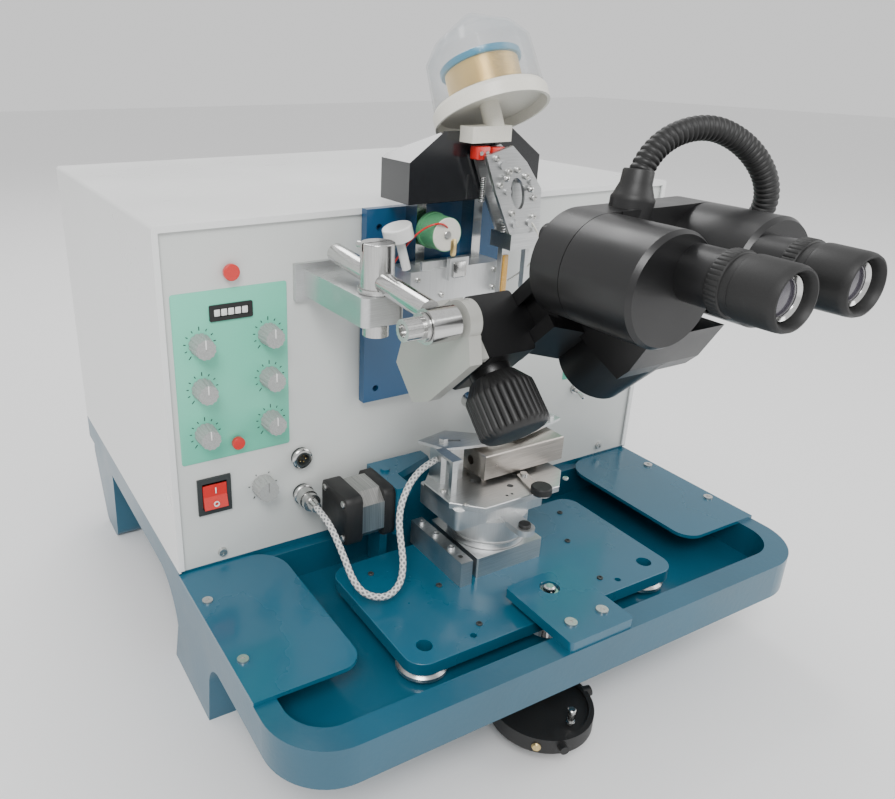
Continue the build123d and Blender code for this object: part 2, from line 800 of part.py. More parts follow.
cable_route = [
    (-132.3, -28, 43.5), (-132.5, -44, 43), (-132.5, -60, 36), (-132, -75, 23), (-131, -87, 10),
    (-125.5, -96.5, 2.5), (-111, -102.5, -0.8), (-97, -99.5, 5), (-91, -93, 18), (-89, -85, 32),
    (-86, -76, 47), (-78, -69, 60), (-65, -62, 70), (-50, -57, 75), (-37.9, -54, 76),
]
cable_points = [at(*p) for p in cable_route]
cable_radii = []
for i in range(1, len(cable_points) - 1):
    before = cable_points[i] - cable_points[i - 1]
    after = cable_points[i + 1] - cable_points[i]
    half_turn = math.radians(before.get_angle(after)) / 2
    cable_radii.append(0.45 * min(before.length, after.length) / math.tan(half_turn))
print("heater cable bend radii:", [round(r, 1) for r in cable_radii])

with BuildPart() as heater_cable:
    with BuildLine():
        cable_line = FilletPolyline(*cable_points, radius=cable_radii)
    with BuildSketch(Plane(origin=cable_line @ 0, z_dir=cable_line % 0)):
        Circle(cable_radius)
    sweep()
heater_cable.part.label = "heater_cable"
export_step(heater_cable.part, "parts/heater_cable.step")
cable_length = cable_line.length
print("heater cable length:", round(cable_length, 1), "mm")
print("volume ratio:", round(heater_cable.part.volume / (cable_length * math.pi * cable_radius**2), 4))


# Bond head: blue mounting plate with a tongue for the shroud, two vertical guides, carriage, transducer and wire clamp
shroud_back = 4
with BuildPart() as head_mount_plate:
    with BuildSketch(front.offset(lip + 0.1)):
        with Locations((-16.5, 194.5)):
            Rectangle(129, 155)
        with Locations((-70, 128), (-70, 258), (37, 128), (37, 258)):
            Circle(2.6, mode=Mode.SUBTRACT)
    extrude(amount=10 - lip - 0.1)
    with BuildSketch(front):
        with Locations((-16.5, 190)):
            Rectangle(100, 140)
    extrude(amount=lip + 0.1)
    with BuildSketch(front.offset(lip + 0.1)):
        with Locations((-8, 292)):
            Rectangle(60, 40)
    extrude(amount=shroud_back - lip - 0.1)
head_mount_plate.part.label = "head_mount_plate"
export_step(head_mount_plate.part, "parts/head_mount_plate.step")

# Voice coil that drives the lift, on a stem beside the left guide
with BuildPart() as lift_coil:
    with BuildSketch(front.offset(10)):
        with Locations((-33, 257)):
            Circle(5)
    extrude(amount=18)
    with BuildSketch(front.offset(28)):
        with Locations((-37, 257)):
            Circle(12.5)
            Circle(3, mode=Mode.SUBTRACT)
    extrude(amount=22)
    with BuildSketch(front.offset(30)):
        with Locations((-37, 257)):
            Circle(13.5)
            Circle(12.5, mode=Mode.SUBTRACT)
    extrude(amount=3)
lift_coil.part.label = "lift_coil"
export_step(lift_coil.part, "parts/lift_coil.step")

guide_x = (-43, 9)
guide_width = 8
guide_front = 25
with BuildPart() as head_guides:
    with BuildSketch(front.offset(10)):
        with Locations(*[(x, 236) for x in guide_x]):
            Rectangle(guide_width, 84)
    extrude(amount=guide_front - 10)
head_guides.part.label = "head_guides"
export_step(head_guides.part, "parts/head_guides.step")

carriage_bottom = 204
carriage_top = 230
horn_x = 18
horn_z = 104
with BuildPart() as head_carriage:
    with BuildSketch(front.offset(14)):
        with Locations((-21, (carriage_bottom + carriage_top) / 2)):
            Rectangle(82, carriage_top - carriage_bottom)
    extrude(amount=29)
    with BuildSketch(front.offset(14)):
        with Locations(*[(x, (carriage_bottom + carriage_top) / 2) for x in guide_x]):
            Rectangle(guide_width + 2 * slip, 40)
    extrude(amount=guide_front - 14 + slip, mode=Mode.SUBTRACT)
    with BuildSketch(front.offset(43)):
        with Locations((-22, carriage_top - 0.5)):
            Rectangle(17, 17)
    extrude(amount=4)
    with BuildSketch(front.offset(38)):
        with Locations((-40, carriage_top + 3)):
            Rectangle(22, 6)
    extrude(amount=3)
    with BuildSketch(front.offset(30)):
        with Locations((horn_x, 159.5)):
            Rectangle(12, 93)
    extrude(amount=8)
head_carriage.part.label = "head_carriage"
export_step(head_carriage.part, "parts/head_carriage.step")

bond_y = -57
tip_z = 88
with BuildPart() as transducer:
    with BuildSketch(Plane(origin=at(horn_x, 0, horn_z), x_dir=(0, -1, 0), z_dir=(1, 0, 0))):
        with BuildLine():
            Polyline((18, 0), (18, 7), (30, 7), (30, 9), (38, 9), (38, 7), (44, 6), (62, 2.6), (62, 0), close=True)
        make_face()
    revolve(axis=Axis(at(horn_x, 0, horn_z), (0, 1, 0)))
    with BuildSketch(front.offset(30)):
        with Locations((horn_x, 108.5)):
            Rectangle(12, 9)
    extrude(amount=8)
    with BuildSketch(deck.offset(horn_z)):
        with Locations((horn_x, bond_y)):
            Circle(0.9)
    extrude(amount=tip_z + 3 - horn_z)
    with BuildSketch(deck.offset(tip_z + 3)):
        with Locations((horn_x, bond_y)):
            Circle(0.9)
    extrude(amount=-3, taper=11)
transducer.part.label = "transducer"
export_step(transducer.part, "parts/transducer.step")

# The wire clamp hangs from two slanted cheeks joined by cross pins; its jaws reach down beside the carriage
with BuildPart() as wire_clamp:
    for depth in (44, 58):
        with BuildSketch(front.offset(depth)):
            with BuildLine():
                Polyline((-15, 312), (8, 318), (22, 306), (38, 286), (40, 254), (12, 254), (-4, 286), close=True)
            make_face()
            with Locations((16, 284)):
                Ellipse(6, 12, rotation=18, mode=Mode.SUBTRACT)
        extrude(amount=3)
    for x, z, r in ((0, 305, 3), (28, 292, 3), (6, 286, 2.5), (30, 262, 3.5), (16, 262, 3.5)):
        with BuildSketch(front.offset(42)):
            with Locations((x, z)):
                Circle(r)
        extrude(amount=21)
    with BuildSketch(front.offset(40)):
        with Locations((27, 249)):
            Rectangle(32, 12)
    extrude(amount=24)
    with BuildSketch(front.offset(47)):
        with Locations((17, 225)):
            Rectangle(7, 38)
        with Locations((38, 226)):
            Rectangle(3, 36)
    extrude(amount=5)
wire_clamp.part.label = "wire_clamp"
export_step(wire_clamp.part, "parts/wire_clamp.step")

knob_axis = Plane(origin=at(-57, -36, 216), x_dir=(0, 1, 0), z_dir=(-0.29, 0, 0.957))
with BuildPart() as head_knob:
    with BuildSketch(knob_axis.offset(16)):
        Circle(3.4)
    extrude(amount=24.5)
    with BuildSketch(knob_axis.offset(40)):
        Circle(11)
    extrude(amount=10)
    fillet(head_knob.edges().filter_by(GeomType.CIRCLE).sort_by(Axis.Z)[-1], radius=1.2)
head_knob.part.label = "head_knob"
export_step(head_knob.part, "parts/head_knob.step")

# Shroud: bent sheet with slanting shoulders and a roof that falls away under the wire spool
shroud_sheet = 1.5
shroud_front = 42
shroud_base = 279
with BuildPart() as shroud:
    with BuildSketch(front.offset(shroud_back)):
        with BuildLine():
            Polyline((-66, shroud_base), (-66, 308), (-38, 328), (22, 328), (50, 308), (50, shroud_base), close=True)
        make_face()
    extrude(amount=shroud_front - shroud_back)
    with BuildSketch(side.offset(-70)):
        with BuildLine():
            Polyline((-shroud_front, 328), (-shroud_back, 311), (0, 311), (0, 334), (-shroud_front, 334), close=True)
        make_face()
    extrude(amount=130, mode=Mode.SUBTRACT)
    offset(amount=-shroud_sheet, openings=shroud.faces().sort_by(Axis.Z)[0])
shroud.part.label = "shroud"
export_step(shroud.part, "parts/shroud.step")


# Wire spool unit: leans back on its stalk over the bond head
spool_lean = 28
spool_axis_dir = (0, math.sin(math.radians(spool_lean)), math.cos(math.radians(spool_lean)))
spool = Plane(origin=at(0, -45, 337), x_dir=(1, 0, 0), z_dir=spool_axis_dir)
spool_profile = Plane(origin=spool.origin, x_dir=(1, 0, 0), z_dir=-spool.y_dir)
spool_axis = Axis(spool.origin, spool.z_dir)

with BuildPart() as spool_base:
    with BuildSketch(spool_profile):
        with BuildLine():
            Polyline(
                (0, 9), (0, 14), (3.9, 14), (3.9, 12), (39, 12), (41, 9), (41, 0), (39, 0), (37, 7), (8, 9), close=True,
            )
        make_face()
    revolve(axis=spool_axis)
    with BuildSketch(spool.offset(12)):
        Circle(3.9)
    extrude(amount=34)
    with BuildSketch(spool.offset(9)):
        Circle(7)
    extrude(amount=-19)
    with BuildSketch(front.offset(shroud_front)):
        with Locations((-8, 326)):
            Rectangle(34, 11)
    extrude(amount=15)
spool_base.part.label = "spool_base"
export_step(spool_base.part, "parts/spool_base.step")

with BuildPart() as wire_spool:
    with BuildSketch(spool_profile):
        with BuildLine():
            Polyline(
                (4, 12.6), (25.5, 12.6), (25.5, 15), (26, 15), (26, 35), (29, 36), (29, 40), (25, 40),
                (24, 19), (8, 19), (8, 38), (4, 38), close=True,
            )
        make_face()
    revolve(axis=spool_axis)
wire_spool.part.label = "wire_spool"
export_step(wire_spool.part, "parts/wire_spool.step")

crown_z = 65.5
crown_angle = math.degrees(math.atan2(8, 6))
with BuildPart() as spool_cover:
    with BuildSketch(spool_profile):
        with BuildLine():
            Polyline((39.4, 12.4), (37.6, 46), (30, 57), (6, crown_z + 8))
            CenterArc((0, crown_z), 10, crown_angle, 90 - crown_angle)
            Line((0, crown_z + 10), (0, crown_z + 8.5))
            CenterArc((0, crown_z), 8.5, crown_angle, 90 - crown_angle)
            Polyline((5.1, crown_z + 6.8), (28.9, 55.9), (36.1, 45.5), (37.8, 12.4), (39.4, 12.4))
        make_face()
    revolve(axis=spool_axis)
spool_cover.part.label = "spool_cover"
export_step(spool_cover.part, "parts/spool_cover.step")


# Microscope arm: block on the panel, swivelling post, sliding rod with the tilt boss
post_x = -113
post_y = -80
rod_height = 241
rod_tilt = 5
rod_dir = (0, -math.cos(math.radians(rod_tilt)), -math.sin(math.radians(rod_tilt)))
rod_radius = 7
with BuildPart() as arm_block:
    with BuildSketch(deck.offset(212)) as arm_outline:
        with Locations((post_x - 1, -47)):
            Rectangle(32, 92)
        fillet(arm_outline.vertices().group_by(Axis.Y)[0], radius=5)
    extrude(amount=20)
    with BuildSketch(deck.offset(212)):
        with Locations((post_x, post_y)):
            Circle(6.08)
    extrude(amount=20, mode=Mode.SUBTRACT)
    with BuildSketch(front.offset(0.2)):
        with Locations((post_x - 1, 222)):
            Rectangle(46, 28)
    extrude(amount=4)
arm_block.part.label = "arm_block"
export_step(arm_block.part, "parts/arm_block.step")

rod_line = Plane(origin=at(post_x, post_y, rod_height), x_dir=(1, 0, 0), z_dir=rod_dir)
with BuildPart() as post_clamp:
    with BuildSketch(deck.offset(206)):
        with Locations((post_x, post_y)):
            Circle(6)
    extrude(amount=26.3)
    with BuildSketch(deck.offset(202)):
        with Locations((post_x, post_y)):
            Circle(9)
    extrude(amount=8)
    with BuildSketch(deck.offset(232.3)):
        with Locations((post_x, post_y)):
            Circle(13)
    extrude(amount=3)
    with BuildSketch(deck.offset(235.3)):
        with Locations((post_x, post_y)):
            Circle(11.5)
    extrude(amount=30)
    fillet(post_clamp.edges().group_by(Axis.Z)[-1], radius=1)
    with BuildSketch(rod_line.offset(-20)):
        Circle(rod_radius + 0.05)
    extrude(amount=40, mode=Mode.SUBTRACT)
    with BuildSketch(deck.offset(260)):
        with Locations((post_x, post_y)):
            Rectangle(30, 1.6)
    extrude(amount=10, mode=Mode.SUBTRACT)
    with BuildSketch(facing(post_x, post_y + 11, 260, (-0.3, 0.95, 0))):
        Circle(2.4)
    extrude(amount=10)
post_clamp.part.label = "post_clamp"
export_step(post_clamp.part, "parts/post_clamp.step")

tilt_y = -149
tilt_z = 229
with BuildPart() as arm_rod:
    with BuildSketch(rod_line.offset(-58)):
        Circle(rod_radius)
    extrude(amount=58 + 62)
    with BuildSketch(side.offset(post_x - 8)):
        with Locations((tilt_y, tilt_z)):
            Circle(11)
    extrude(amount=20)
    with BuildSketch(side.offset(post_x - 20)):
        with Locations((tilt_y, tilt_z)):
            Circle(4)
    extrude(amount=48)
arm_rod.part.label = "arm_rod"
export_step(arm_rod.part, "parts/arm_rod.step")

with BuildPart() as tilt_knob:
    with BuildSketch(side.offset(post_x - 8.4)):
        with Locations((tilt_y, tilt_z)):
            Circle(9)
            Circle(4.06, mode=Mode.SUBTRACT)
    extrude(amount=-3)
    with BuildSketch(side.offset(post_x - 11.4)):
        with Locations((tilt_y, tilt_z)):
            Circle(7)
            with PolarLocations(7.4, 16):
                Circle(0.7, mode=Mode.SUBTRACT)
            Circle(4.06, mode=Mode.SUBTRACT)
    extrude(amount=-12)
tilt_knob.part.label = "tilt_knob"
export_step(tilt_knob.part, "parts/tilt_knob.step")


# Tilting bracket and the focusing block. The optical axis stands at 45 degrees; the pinion crosses it.
half = math.sqrt(0.5)
scope_x = 14
lens_y = -153
lens_z = 183
up = Vector(0, -half, half)
pinion_dir = Vector(0, -half, -half)
bracket_left = -97
bracket_right = -75
with BuildPart() as tilt_bracket:
    with BuildSketch(side.offset(bracket_left)) as bracket_outline:
        with BuildLine():
            Polyline(
                (-82, 180), (-104, 158), (-123, 166), (-164, 205), (-161, 222), (-140, 240),
                (-106, 214), (-88, 198), close=True,
            )
        make_face()
        with Locations((tilt_y, tilt_z)):
            Circle(13)
            Circle(4.06, mode=Mode.SUBTRACT)
    extrude(amount=9)
    with BuildSketch(side.offset(bracket_left)):
        with BuildLine():
            Polyline((-123.4, 234.6), (-154.5, 203.4), (-150.3, 199.2), (-119.2, 230.3), close=True)
        make_face()
    extrude(amount=bracket_right - bracket_left)
tilt_bracket.part.label = "tilt_bracket"
export_step(tilt_bracket.part, "parts/tilt_bracket.step")

block_centre = at(-56, -122, 202)
focus = Plane(origin=block_centre, x_dir=(1, 0, 0), z_dir=up)
with BuildPart() as focus_block:
    with BuildSketch(focus.offset(-26)) as focus_outline:
        Rectangle(38, 44)
        fillet(focus_outline.vertices(), radius=3)
    extrude(amount=50)
    with BuildSketch(focus.offset(-26)):
        with BuildLine():
            Polyline((19, -9), (26, -14), (26, 14), (19, 9), close=True)
        make_face()
    extrude(amount=50)
    with BuildSketch(Plane(origin=block_centre + Vector(-4, 0, 0), x_dir=(1, 0, 0), z_dir=pinion_dir)):
        Circle(6.08)
    extrude(amount=30, mode=Mode.SUBTRACT)
    with BuildSketch(Plane(origin=block_centre + pinion_dir * 22, x_dir=(1, 0, 0), z_dir=pinion_dir)):
        with Locations((-4, 0)):
            Circle(14)
            Circle(6.08, mode=Mode.SUBTRACT)
    extrude(amount=5)
focus_block.part.label = "focus_block"
export_step(focus_block.part, "parts/focus_block.step")

# Focusing knob: moulded ribs on a cone that opens into the grip, with a domed end
knob_start = Plane(
    origin=block_centre + Vector(-4, 0, 0) + pinion_dir * 27.4, x_dir=(1, 0, 0), z_dir=pinion_dir
)
with BuildPart() as focus_knob:
    with BuildSketch(knob_start):
        Circle(15)
    with BuildSketch(knob_start.offset(10)):
        Circle(22)
    loft()
    with BuildSketch(knob_start.offset(10)):
        Circle(22)
        with PolarLocations(22, 20):
            Rectangle(3.6, 3.2)
    extrude(amount=28)
    with BuildSketch(knob_start.offset(38)):
        Circle(22)
    extrude(amount=3, taper=24)
    with BuildSketch(knob_start):
        Circle(6)
    extrude(amount=-24)
focus_knob.part.label = "focus_knob"
export_step(focus_knob.part, "parts/focus_knob.step")


# Route of the gooseneck lamp over the housing
lamp_route = [
    (4, -178, 298), (7, -177, 316), (25, -178, 334), (52, -184, 340), (77, -191, 330),
    (95, -197, 312), (104, -197, 292), (103, -189, 274), (93, -182, 265),
]
lamp_points = [at(*p) for p in lamp_route]
lamp_radii = []
for i in range(1, len(lamp_points) - 1):
    before = lamp_points[i] - lamp_points[i - 1]
    after = lamp_points[i + 1] - lamp_points[i]
    half_turn = math.radians(before.get_angle(after)) / 2
    lamp_radii.append(0.45 * min(before.length, after.length) / math.tan(half_turn))
print("gooseneck bend radii:", [round(r, 1) for r in lamp_radii])

# Microscope body: dovetail carriage, objective barrel, prism housing and the sockets of the drums
lens = Plane(origin=at(scope_x, lens_y, lens_z), x_dir=(1, 0, 0), z_dir=up)
drum_pitch = 41
drum_radius = 33
drum_z = 262
housing_back = -166
housing_front = -190
side_knob_z = 276
with BuildPart() as microscope_body:
    with BuildSketch(lens):
        Circle(25)
    extrude(amount=3)
    with BuildSketch(lens.offset(3)):
        Circle(27)
    extrude(amount=52)
    with BuildSketch(side.offset(scope_x - 30)) as prism_outline:
        with BuildLine():
            Polyline(
                (-150, 222), (-160, 262), (-166, 290), (-178, 295), (-190.5, 295), (-190.5, 228.4),
                (-226, 228.4), (-212, 204), (-204, 196), close=True,
            )
        make_face()
    extrude(amount=60)
    with BuildSketch(front.offset(-housing_back)):
        with Locations((scope_x, drum_z)):
            SlotOverall(2 * (drum_pitch + drum_radius), 2 * drum_radius)
    extrude(amount=housing_back - housing_front)
    with BuildSketch(lens.offset(2)):
        with BuildLine():
            Polyline((-50.7, 54), (-38, 56), (-20, 50), (4, 24), (4, 8), (-26, 8), (-50.7, 17), close=True)
        make_face()
    extrude(amount=36)
    with BuildSketch(lens.offset(-20)):
        with BuildLine():
            Polyline((-50.7, 54), (-38, 56), (-36, 20), (-50.7, 17), close=True)
        make_face()
    extrude(amount=24)
    with BuildSketch(focus.offset(-30)):
        with BuildLine():
            Polyline((19, -9.1), (26.1, -14.17), (26.1, 14.17), (19, 9.1), close=True)
        make_face()
    extrude(amount=84, mode=Mode.SUBTRACT)
    for x, r in ((-34, 7), (scope_x + 20, 6)):
        with BuildSketch(front.offset(-housing_back)):
            with Locations((x, side_knob_z)):
                Circle(r)
        extrude(amount=-16)
    with BuildSketch(Plane(origin=lamp_points[0], z_dir=lamp_points[0] - lamp_points[1])):
        Circle(13)
    extrude(amount=12)
    with BuildSketch(Plane(origin=lamp_points[-1], z_dir=lamp_points[-1] - lamp_points[-2])):
        Circle(9.5)
    extrude(amount=12)
    with BuildSketch(front.offset(-housing_front)):
        with Locations((scope_x - drum_pitch, drum_z), (scope_x + drum_pitch, drum_z)):
            Circle(20)
    extrude(amount=8)
microscope_body.part.label = "microscope_body"
export_step(microscope_body.part, "parts/microscope_body.step")

# Prism drums turn on the body's sockets and carry the eye tubes off their centres
drum_front = -243
eye_inset = 13
eye_rise = 9
tube_end = -262
for label, s in (("left_drum", -1), ("right_drum", 1)):
    drum_x = scope_x + s * drum_pitch
    eye_x = drum_x - s * eye_inset
    with BuildPart() as drum:
        with BuildSketch(Plane(origin=at(drum_x, 0, drum_z), x_dir=(0, -1, 0), z_dir=(1, 0, 0))):
            with BuildLine():
                Polyline(
                    (190.5, 20.08), (190.5, 33), (240, 33), (243, 31), (243, 0), (199, 0), (199, 20.08), close=True,
                )
            make_face()
        revolve(axis=Axis(at(drum_x, 0, drum_z), (0, 1, 0)))
        with BuildSketch(front.offset(-drum_front)):
            with Locations((eye_x, drum_z + eye_rise)):
                Circle(16)
        extrude(amount=drum_front - tube_end)
        with BuildSketch(front.offset(-tube_end)):
            with Locations((eye_x, drum_z + eye_rise)):
                Circle(11.5)
        extrude(amount=-14, mode=Mode.SUBTRACT)
    drum.part.label = label
    export_step(drum.part, f"parts/{label}.step")

# Eyepieces: knurled ring, barrel and a recessed eye lens
for label, s in (("left_eyepiece", -1), ("right_eyepiece", 1)):
    eye_x = scope_x + s * (drum_pitch - eye_inset)
    with BuildPart() as eyepiece:
        with BuildSketch(Plane(origin=at(eye_x, 0, drum_z + eye_rise), x_dir=(0, -1, 0), z_dir=(1, 0, 0))):
            with BuildLine():
                Polyline(
                    (250, 0), (250, 11.42), (262.4, 11.42), (262.4, 18), (271, 18), (271, 16.6), (276, 16.6),
                    (276, 17.6), (300, 17.2), (302, 15.6), (302, 11), (297, 9), (297, 0), close=True,
                )
            make_face()
        revolve(axis=Axis(at(eye_x, 0, drum_z + eye_rise), (0, 1, 0)))
    eyepiece.part.label = label
    export_step(eyepiece.part, f"parts/{label}.step")


# Gooseneck lamp: cone on the housing, sleeve, and the flexible tube that arches to the right side
gooseneck_radius = 7.5
with BuildPart() as gooseneck_lamp:
    with BuildLine():
        neck_line = FilletPolyline(*lamp_points, radius=lamp_radii)
    with BuildSketch(Plane(origin=neck_line @ 0, z_dir=neck_line % 0)):
        Circle(gooseneck_radius)
    sweep()
    lamp_base = Plane(origin=neck_line @ 0, z_dir=neck_line % 0)
    with BuildSketch(lamp_base):
        Circle(13)
    with BuildSketch(lamp_base.offset(9)):
        Circle(9)
    loft()
    with BuildSketch(lamp_base.offset(9)):
        Circle(9)
    extrude(amount=7)
gooseneck_lamp.part.label = "gooseneck_lamp"
export_step(gooseneck_lamp.part, "parts/gooseneck_lamp.step")
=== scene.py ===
import math

import bpy
import numpy as np
from mathutils import Matrix, Vector


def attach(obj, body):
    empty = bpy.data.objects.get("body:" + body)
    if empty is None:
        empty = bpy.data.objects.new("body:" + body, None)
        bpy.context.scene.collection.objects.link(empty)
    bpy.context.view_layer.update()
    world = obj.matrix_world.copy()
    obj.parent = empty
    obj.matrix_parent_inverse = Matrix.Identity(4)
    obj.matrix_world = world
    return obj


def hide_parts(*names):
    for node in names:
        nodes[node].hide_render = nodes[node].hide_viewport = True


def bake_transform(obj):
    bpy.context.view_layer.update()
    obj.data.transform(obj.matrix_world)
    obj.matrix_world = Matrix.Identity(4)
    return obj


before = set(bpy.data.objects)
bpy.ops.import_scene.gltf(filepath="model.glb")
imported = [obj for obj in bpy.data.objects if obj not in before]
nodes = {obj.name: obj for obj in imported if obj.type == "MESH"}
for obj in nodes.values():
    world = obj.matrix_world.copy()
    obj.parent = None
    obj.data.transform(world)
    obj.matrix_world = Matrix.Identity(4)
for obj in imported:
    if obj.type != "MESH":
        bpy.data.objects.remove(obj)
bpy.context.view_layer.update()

# Places are in millimetres from the foot of the control panel, as in the part's source:
# widths from the centre line, depths from the panel (negative towards the operator), heights from the deck.
PANEL_Y = -15
FOOT_HEIGHT = 104
MM = 0.001
FULL = 2 * math.pi
TOWARDS = (0, -1, 0)
ACROSS = (1, 0, 0)
UP = (0, 0, 1)


def at(points):
    """Metres in the row frame of places in millimetres counted from the foot of the panel."""
    return (np.asarray(points, float) + (0, PANEL_Y, FOOT_HEIGHT)) * MM


def unit(v):
    """v divided by its length."""
    v = np.asarray(v, float)
    return v / np.linalg.norm(v)


def axes_for(direction):
    """Two unit vectors square to a direction and to each other, the first as level as can be."""
    w = unit(direction)
    helper = np.array([0, 0, 1.0]) if abs(w[2]) < 0.95 else np.array([0, -1.0, 0])
    u = unit(np.cross(helper, w))
    return u, np.cross(w, u), w


# Meshes


def mesh_piece(name, points, faces, crease=35):
    """An object from points in metres and faces, smooth except at edges sharper than crease degrees."""
    mesh = bpy.data.meshes.new(name)
    mesh.from_pydata(points.tolist(), [], faces)
    mesh.validate()
    mesh.shade_smooth()
    mesh.set_sharp_from_angle(angle=math.radians(crease))
    piece = bpy.data.objects.new(name, mesh)
    bpy.context.scene.collection.objects.link(piece)
    return piece


def grid_faces(rows, columns, ring=True, closed_rows=False):
    """Faces of a grid of rows by columns points, neighbours joined in fours.

    A ring joins the last column to the first. Its ends are capped, or joined to each other as closed rows."""
    index = np.arange(rows * columns).reshape(rows, columns)
    if closed_rows:
        index = np.vstack([index, index[:1]])
    if ring:
        index = np.hstack([index, index[:, :1]])
    quads = np.stack([index[:-1, :-1], index[:-1, 1:], index[1:, 1:], index[1:, :-1]], -1)
    faces = quads.reshape(-1, 4).tolist()
    if ring and not closed_rows:
        faces.append(index[0, :-1][::-1].tolist())
        faces.append(index[-1, :-1].tolist())
    return faces


def turned(name, profile, base, direction, sides=64, crease=35, closed=False):
    """A profile of (radius, distance along the axis) in mm turned about an axis through base.

    Point = base + radius (cos t u + sin t v) + distance w, with t round the axis."""
    u, v, w = axes_for(direction)
    r, d = np.maximum(np.asarray(profile, float), (0.001, -1e9)).T
    t = np.linspace(0, FULL, sides, endpoint=False)
    around = np.cos(t)[:, None] * u + np.sin(t)[:, None] * v
    points = np.asarray(base, float) + r[:, None, None] * around + (d[:, None] * w)[:, None, :]
    faces = grid_faces(len(r), sides, True, closed)
    return mesh_piece(name, at(points.reshape(-1, 3)), faces, crease)


def ribbed(name, profile, base, direction, ribs, crease=40):
    """A turned profile of (radius, distance, depth) in mm whose radius also swells and sinks round the axis.

    Radius at angle t = radius + depth (sqrt |cos (ribs t / 2)| - 1)."""
    u, v, w = axes_for(direction)
    r, d, depth = np.maximum(np.asarray(profile, float), (0.001, -1e9, 0)).T
    t = np.linspace(0, FULL, ribs * 8, endpoint=False)
    radius = r[:, None] + depth[:, None] * (np.sqrt(np.abs(np.cos(ribs * t / 2))) - 1)
    around = np.cos(t)[:, None] * u + np.sin(t)[:, None] * v
    points = np.asarray(base, float) + radius[..., None] * around + (d[:, None] * w)[:, None, :]
    return mesh_piece(name, at(points.reshape(-1, 3)), grid_faces(len(r), len(t)), crease)


def along(path, radius, sides):
    """Rings of a radius round each point of a path, turned as little as possible from one to the next."""
    path = np.asarray(path, float)
    radius = np.broadcast_to(radius, len(path))
    tangent = np.gradient(path, axis=0)
    tangent /= np.linalg.norm(tangent, axis=1)[:, None]
    reference = unit(np.cross(path[len(path) // 2] - path[0], path[-1] - path[0]) + 1e-9)
    side = np.cross(np.broadcast_to(reference, path.shape), tangent)
    side /= np.linalg.norm(side, axis=1)[:, None]
    other = np.cross(tangent, side)
    t = np.linspace(0, FULL, sides, endpoint=False)
    rings = np.cos(t)[None, :, None] * side[:, None, :] + np.sin(t)[None, :, None] * other[:, None, :]
    return path[:, None, :] + radius[:, None, None] * rings


def swept(name, path, radius, sides=20, crease=35):
    """A tube along a path in mm, with one radius or a radius for each point.

    Point = path + radius (cos t side + sin t other), both square to the path's tangent."""
    rings = along(path, radius, sides)
    return mesh_piece(name, at(rings.reshape(-1, 3)), grid_faces(len(rings), sides), crease)


def smooth_path(points, count):
    """A quadratic spline through a few chosen points in mm, read back as count even steps."""
    curve = bpy.data.curves.new("route", "CURVE")
    curve.dimensions = "3D"
    curve.resolution_u = 24
    spline = curve.splines.new("NURBS")
    spline.points.add(len(points) - 1)
    spline.points.foreach_set("co", [c for p in points for c in (*p, 1.0)])
    spline.order_u = 3
    spline.use_endpoint_u = True
    holder = bpy.data.objects.new("route", curve)
    bpy.context.scene.collection.objects.link(holder)
    mesh = bpy.data.meshes.new_from_object(holder)
    fine = np.array([v.co for v in mesh.vertices])
    bpy.data.objects.remove(holder)
    bpy.data.meshes.remove(mesh)
    bpy.data.curves.remove(curve)
    run = np.concatenate([[0], np.cumsum(np.linalg.norm(np.diff(fine, axis=0), axis=1))])
    steps = np.linspace(0, run[-1], count)
    return np.stack([np.interp(steps, run, fine[:, k]) for k in range(3)], -1)


def slab(name, outline, low, high, normal, origin=(0, 0, 0), across=None, bevel=0.4, crease=50):
    """An outline in mm raised from low to high along a normal, with its rims drawn in by the bevel.

    Each ring is the outline moved along the mean of its two edges' normals."""
    outline = np.asarray(outline, float)
    area = np.sum(outline[:, 0] * np.roll(outline[:, 1], -1) - np.roll(outline[:, 0], -1) * outline[:, 1])
    if area < 0:
        outline = outline[::-1]
    w = unit(normal)
    u = axes_for(normal)[0] if across is None else unit(across)
    v = np.cross(w, u)
    edge = np.roll(outline, -1, 0) - outline
    out = np.stack([edge[:, 1], -edge[:, 0]], -1) / (np.linalg.norm(edge, axis=1)[:, None] + 1e-9)
    corner = out + np.roll(out, 1, 0)
    corner /= np.maximum(np.sum(corner * out, 1), 0.3)[:, None]
    rings = [(bevel, low), (0, low + bevel), (0, high - bevel), (bevel, high)]
    flat = np.concatenate([np.c_[outline - inset * corner, np.full(len(outline), h)] for inset, h in rings])
    points = np.asarray(origin, float) + flat[:, :1] * u + flat[:, 1:2] * v + flat[:, 2:] * w
    return mesh_piece(name, at(points), grid_faces(4, len(outline)), crease)


def rounded(width, height, radius, centre=(0, 0), steps=6):
    """The outline of a rectangle with round corners, in mm: four quarter circles joined by straights."""
    quarter = np.linspace(0, math.pi / 2, steps)
    parts = []
    for k, (sx, sy) in enumerate([(1, 1), (-1, 1), (-1, -1), (1, -1)]):
        t = quarter + k * math.pi / 2
        middle = np.array([sx * (width / 2 - radius), sy * (height / 2 - radius)])
        parts.append(middle + radius * np.stack([np.cos(t), np.sin(t)], -1))
    return np.concatenate(parts) + centre


def joined(name, pieces):
    """Several meshes made into one object."""
    kept = pieces[0]
    with bpy.context.temp_override(active_object=kept, selected_editable_objects=pieces):
        bpy.ops.object.join()
    kept.name = name
    kept.data.name = name
    return kept


# Shared effects


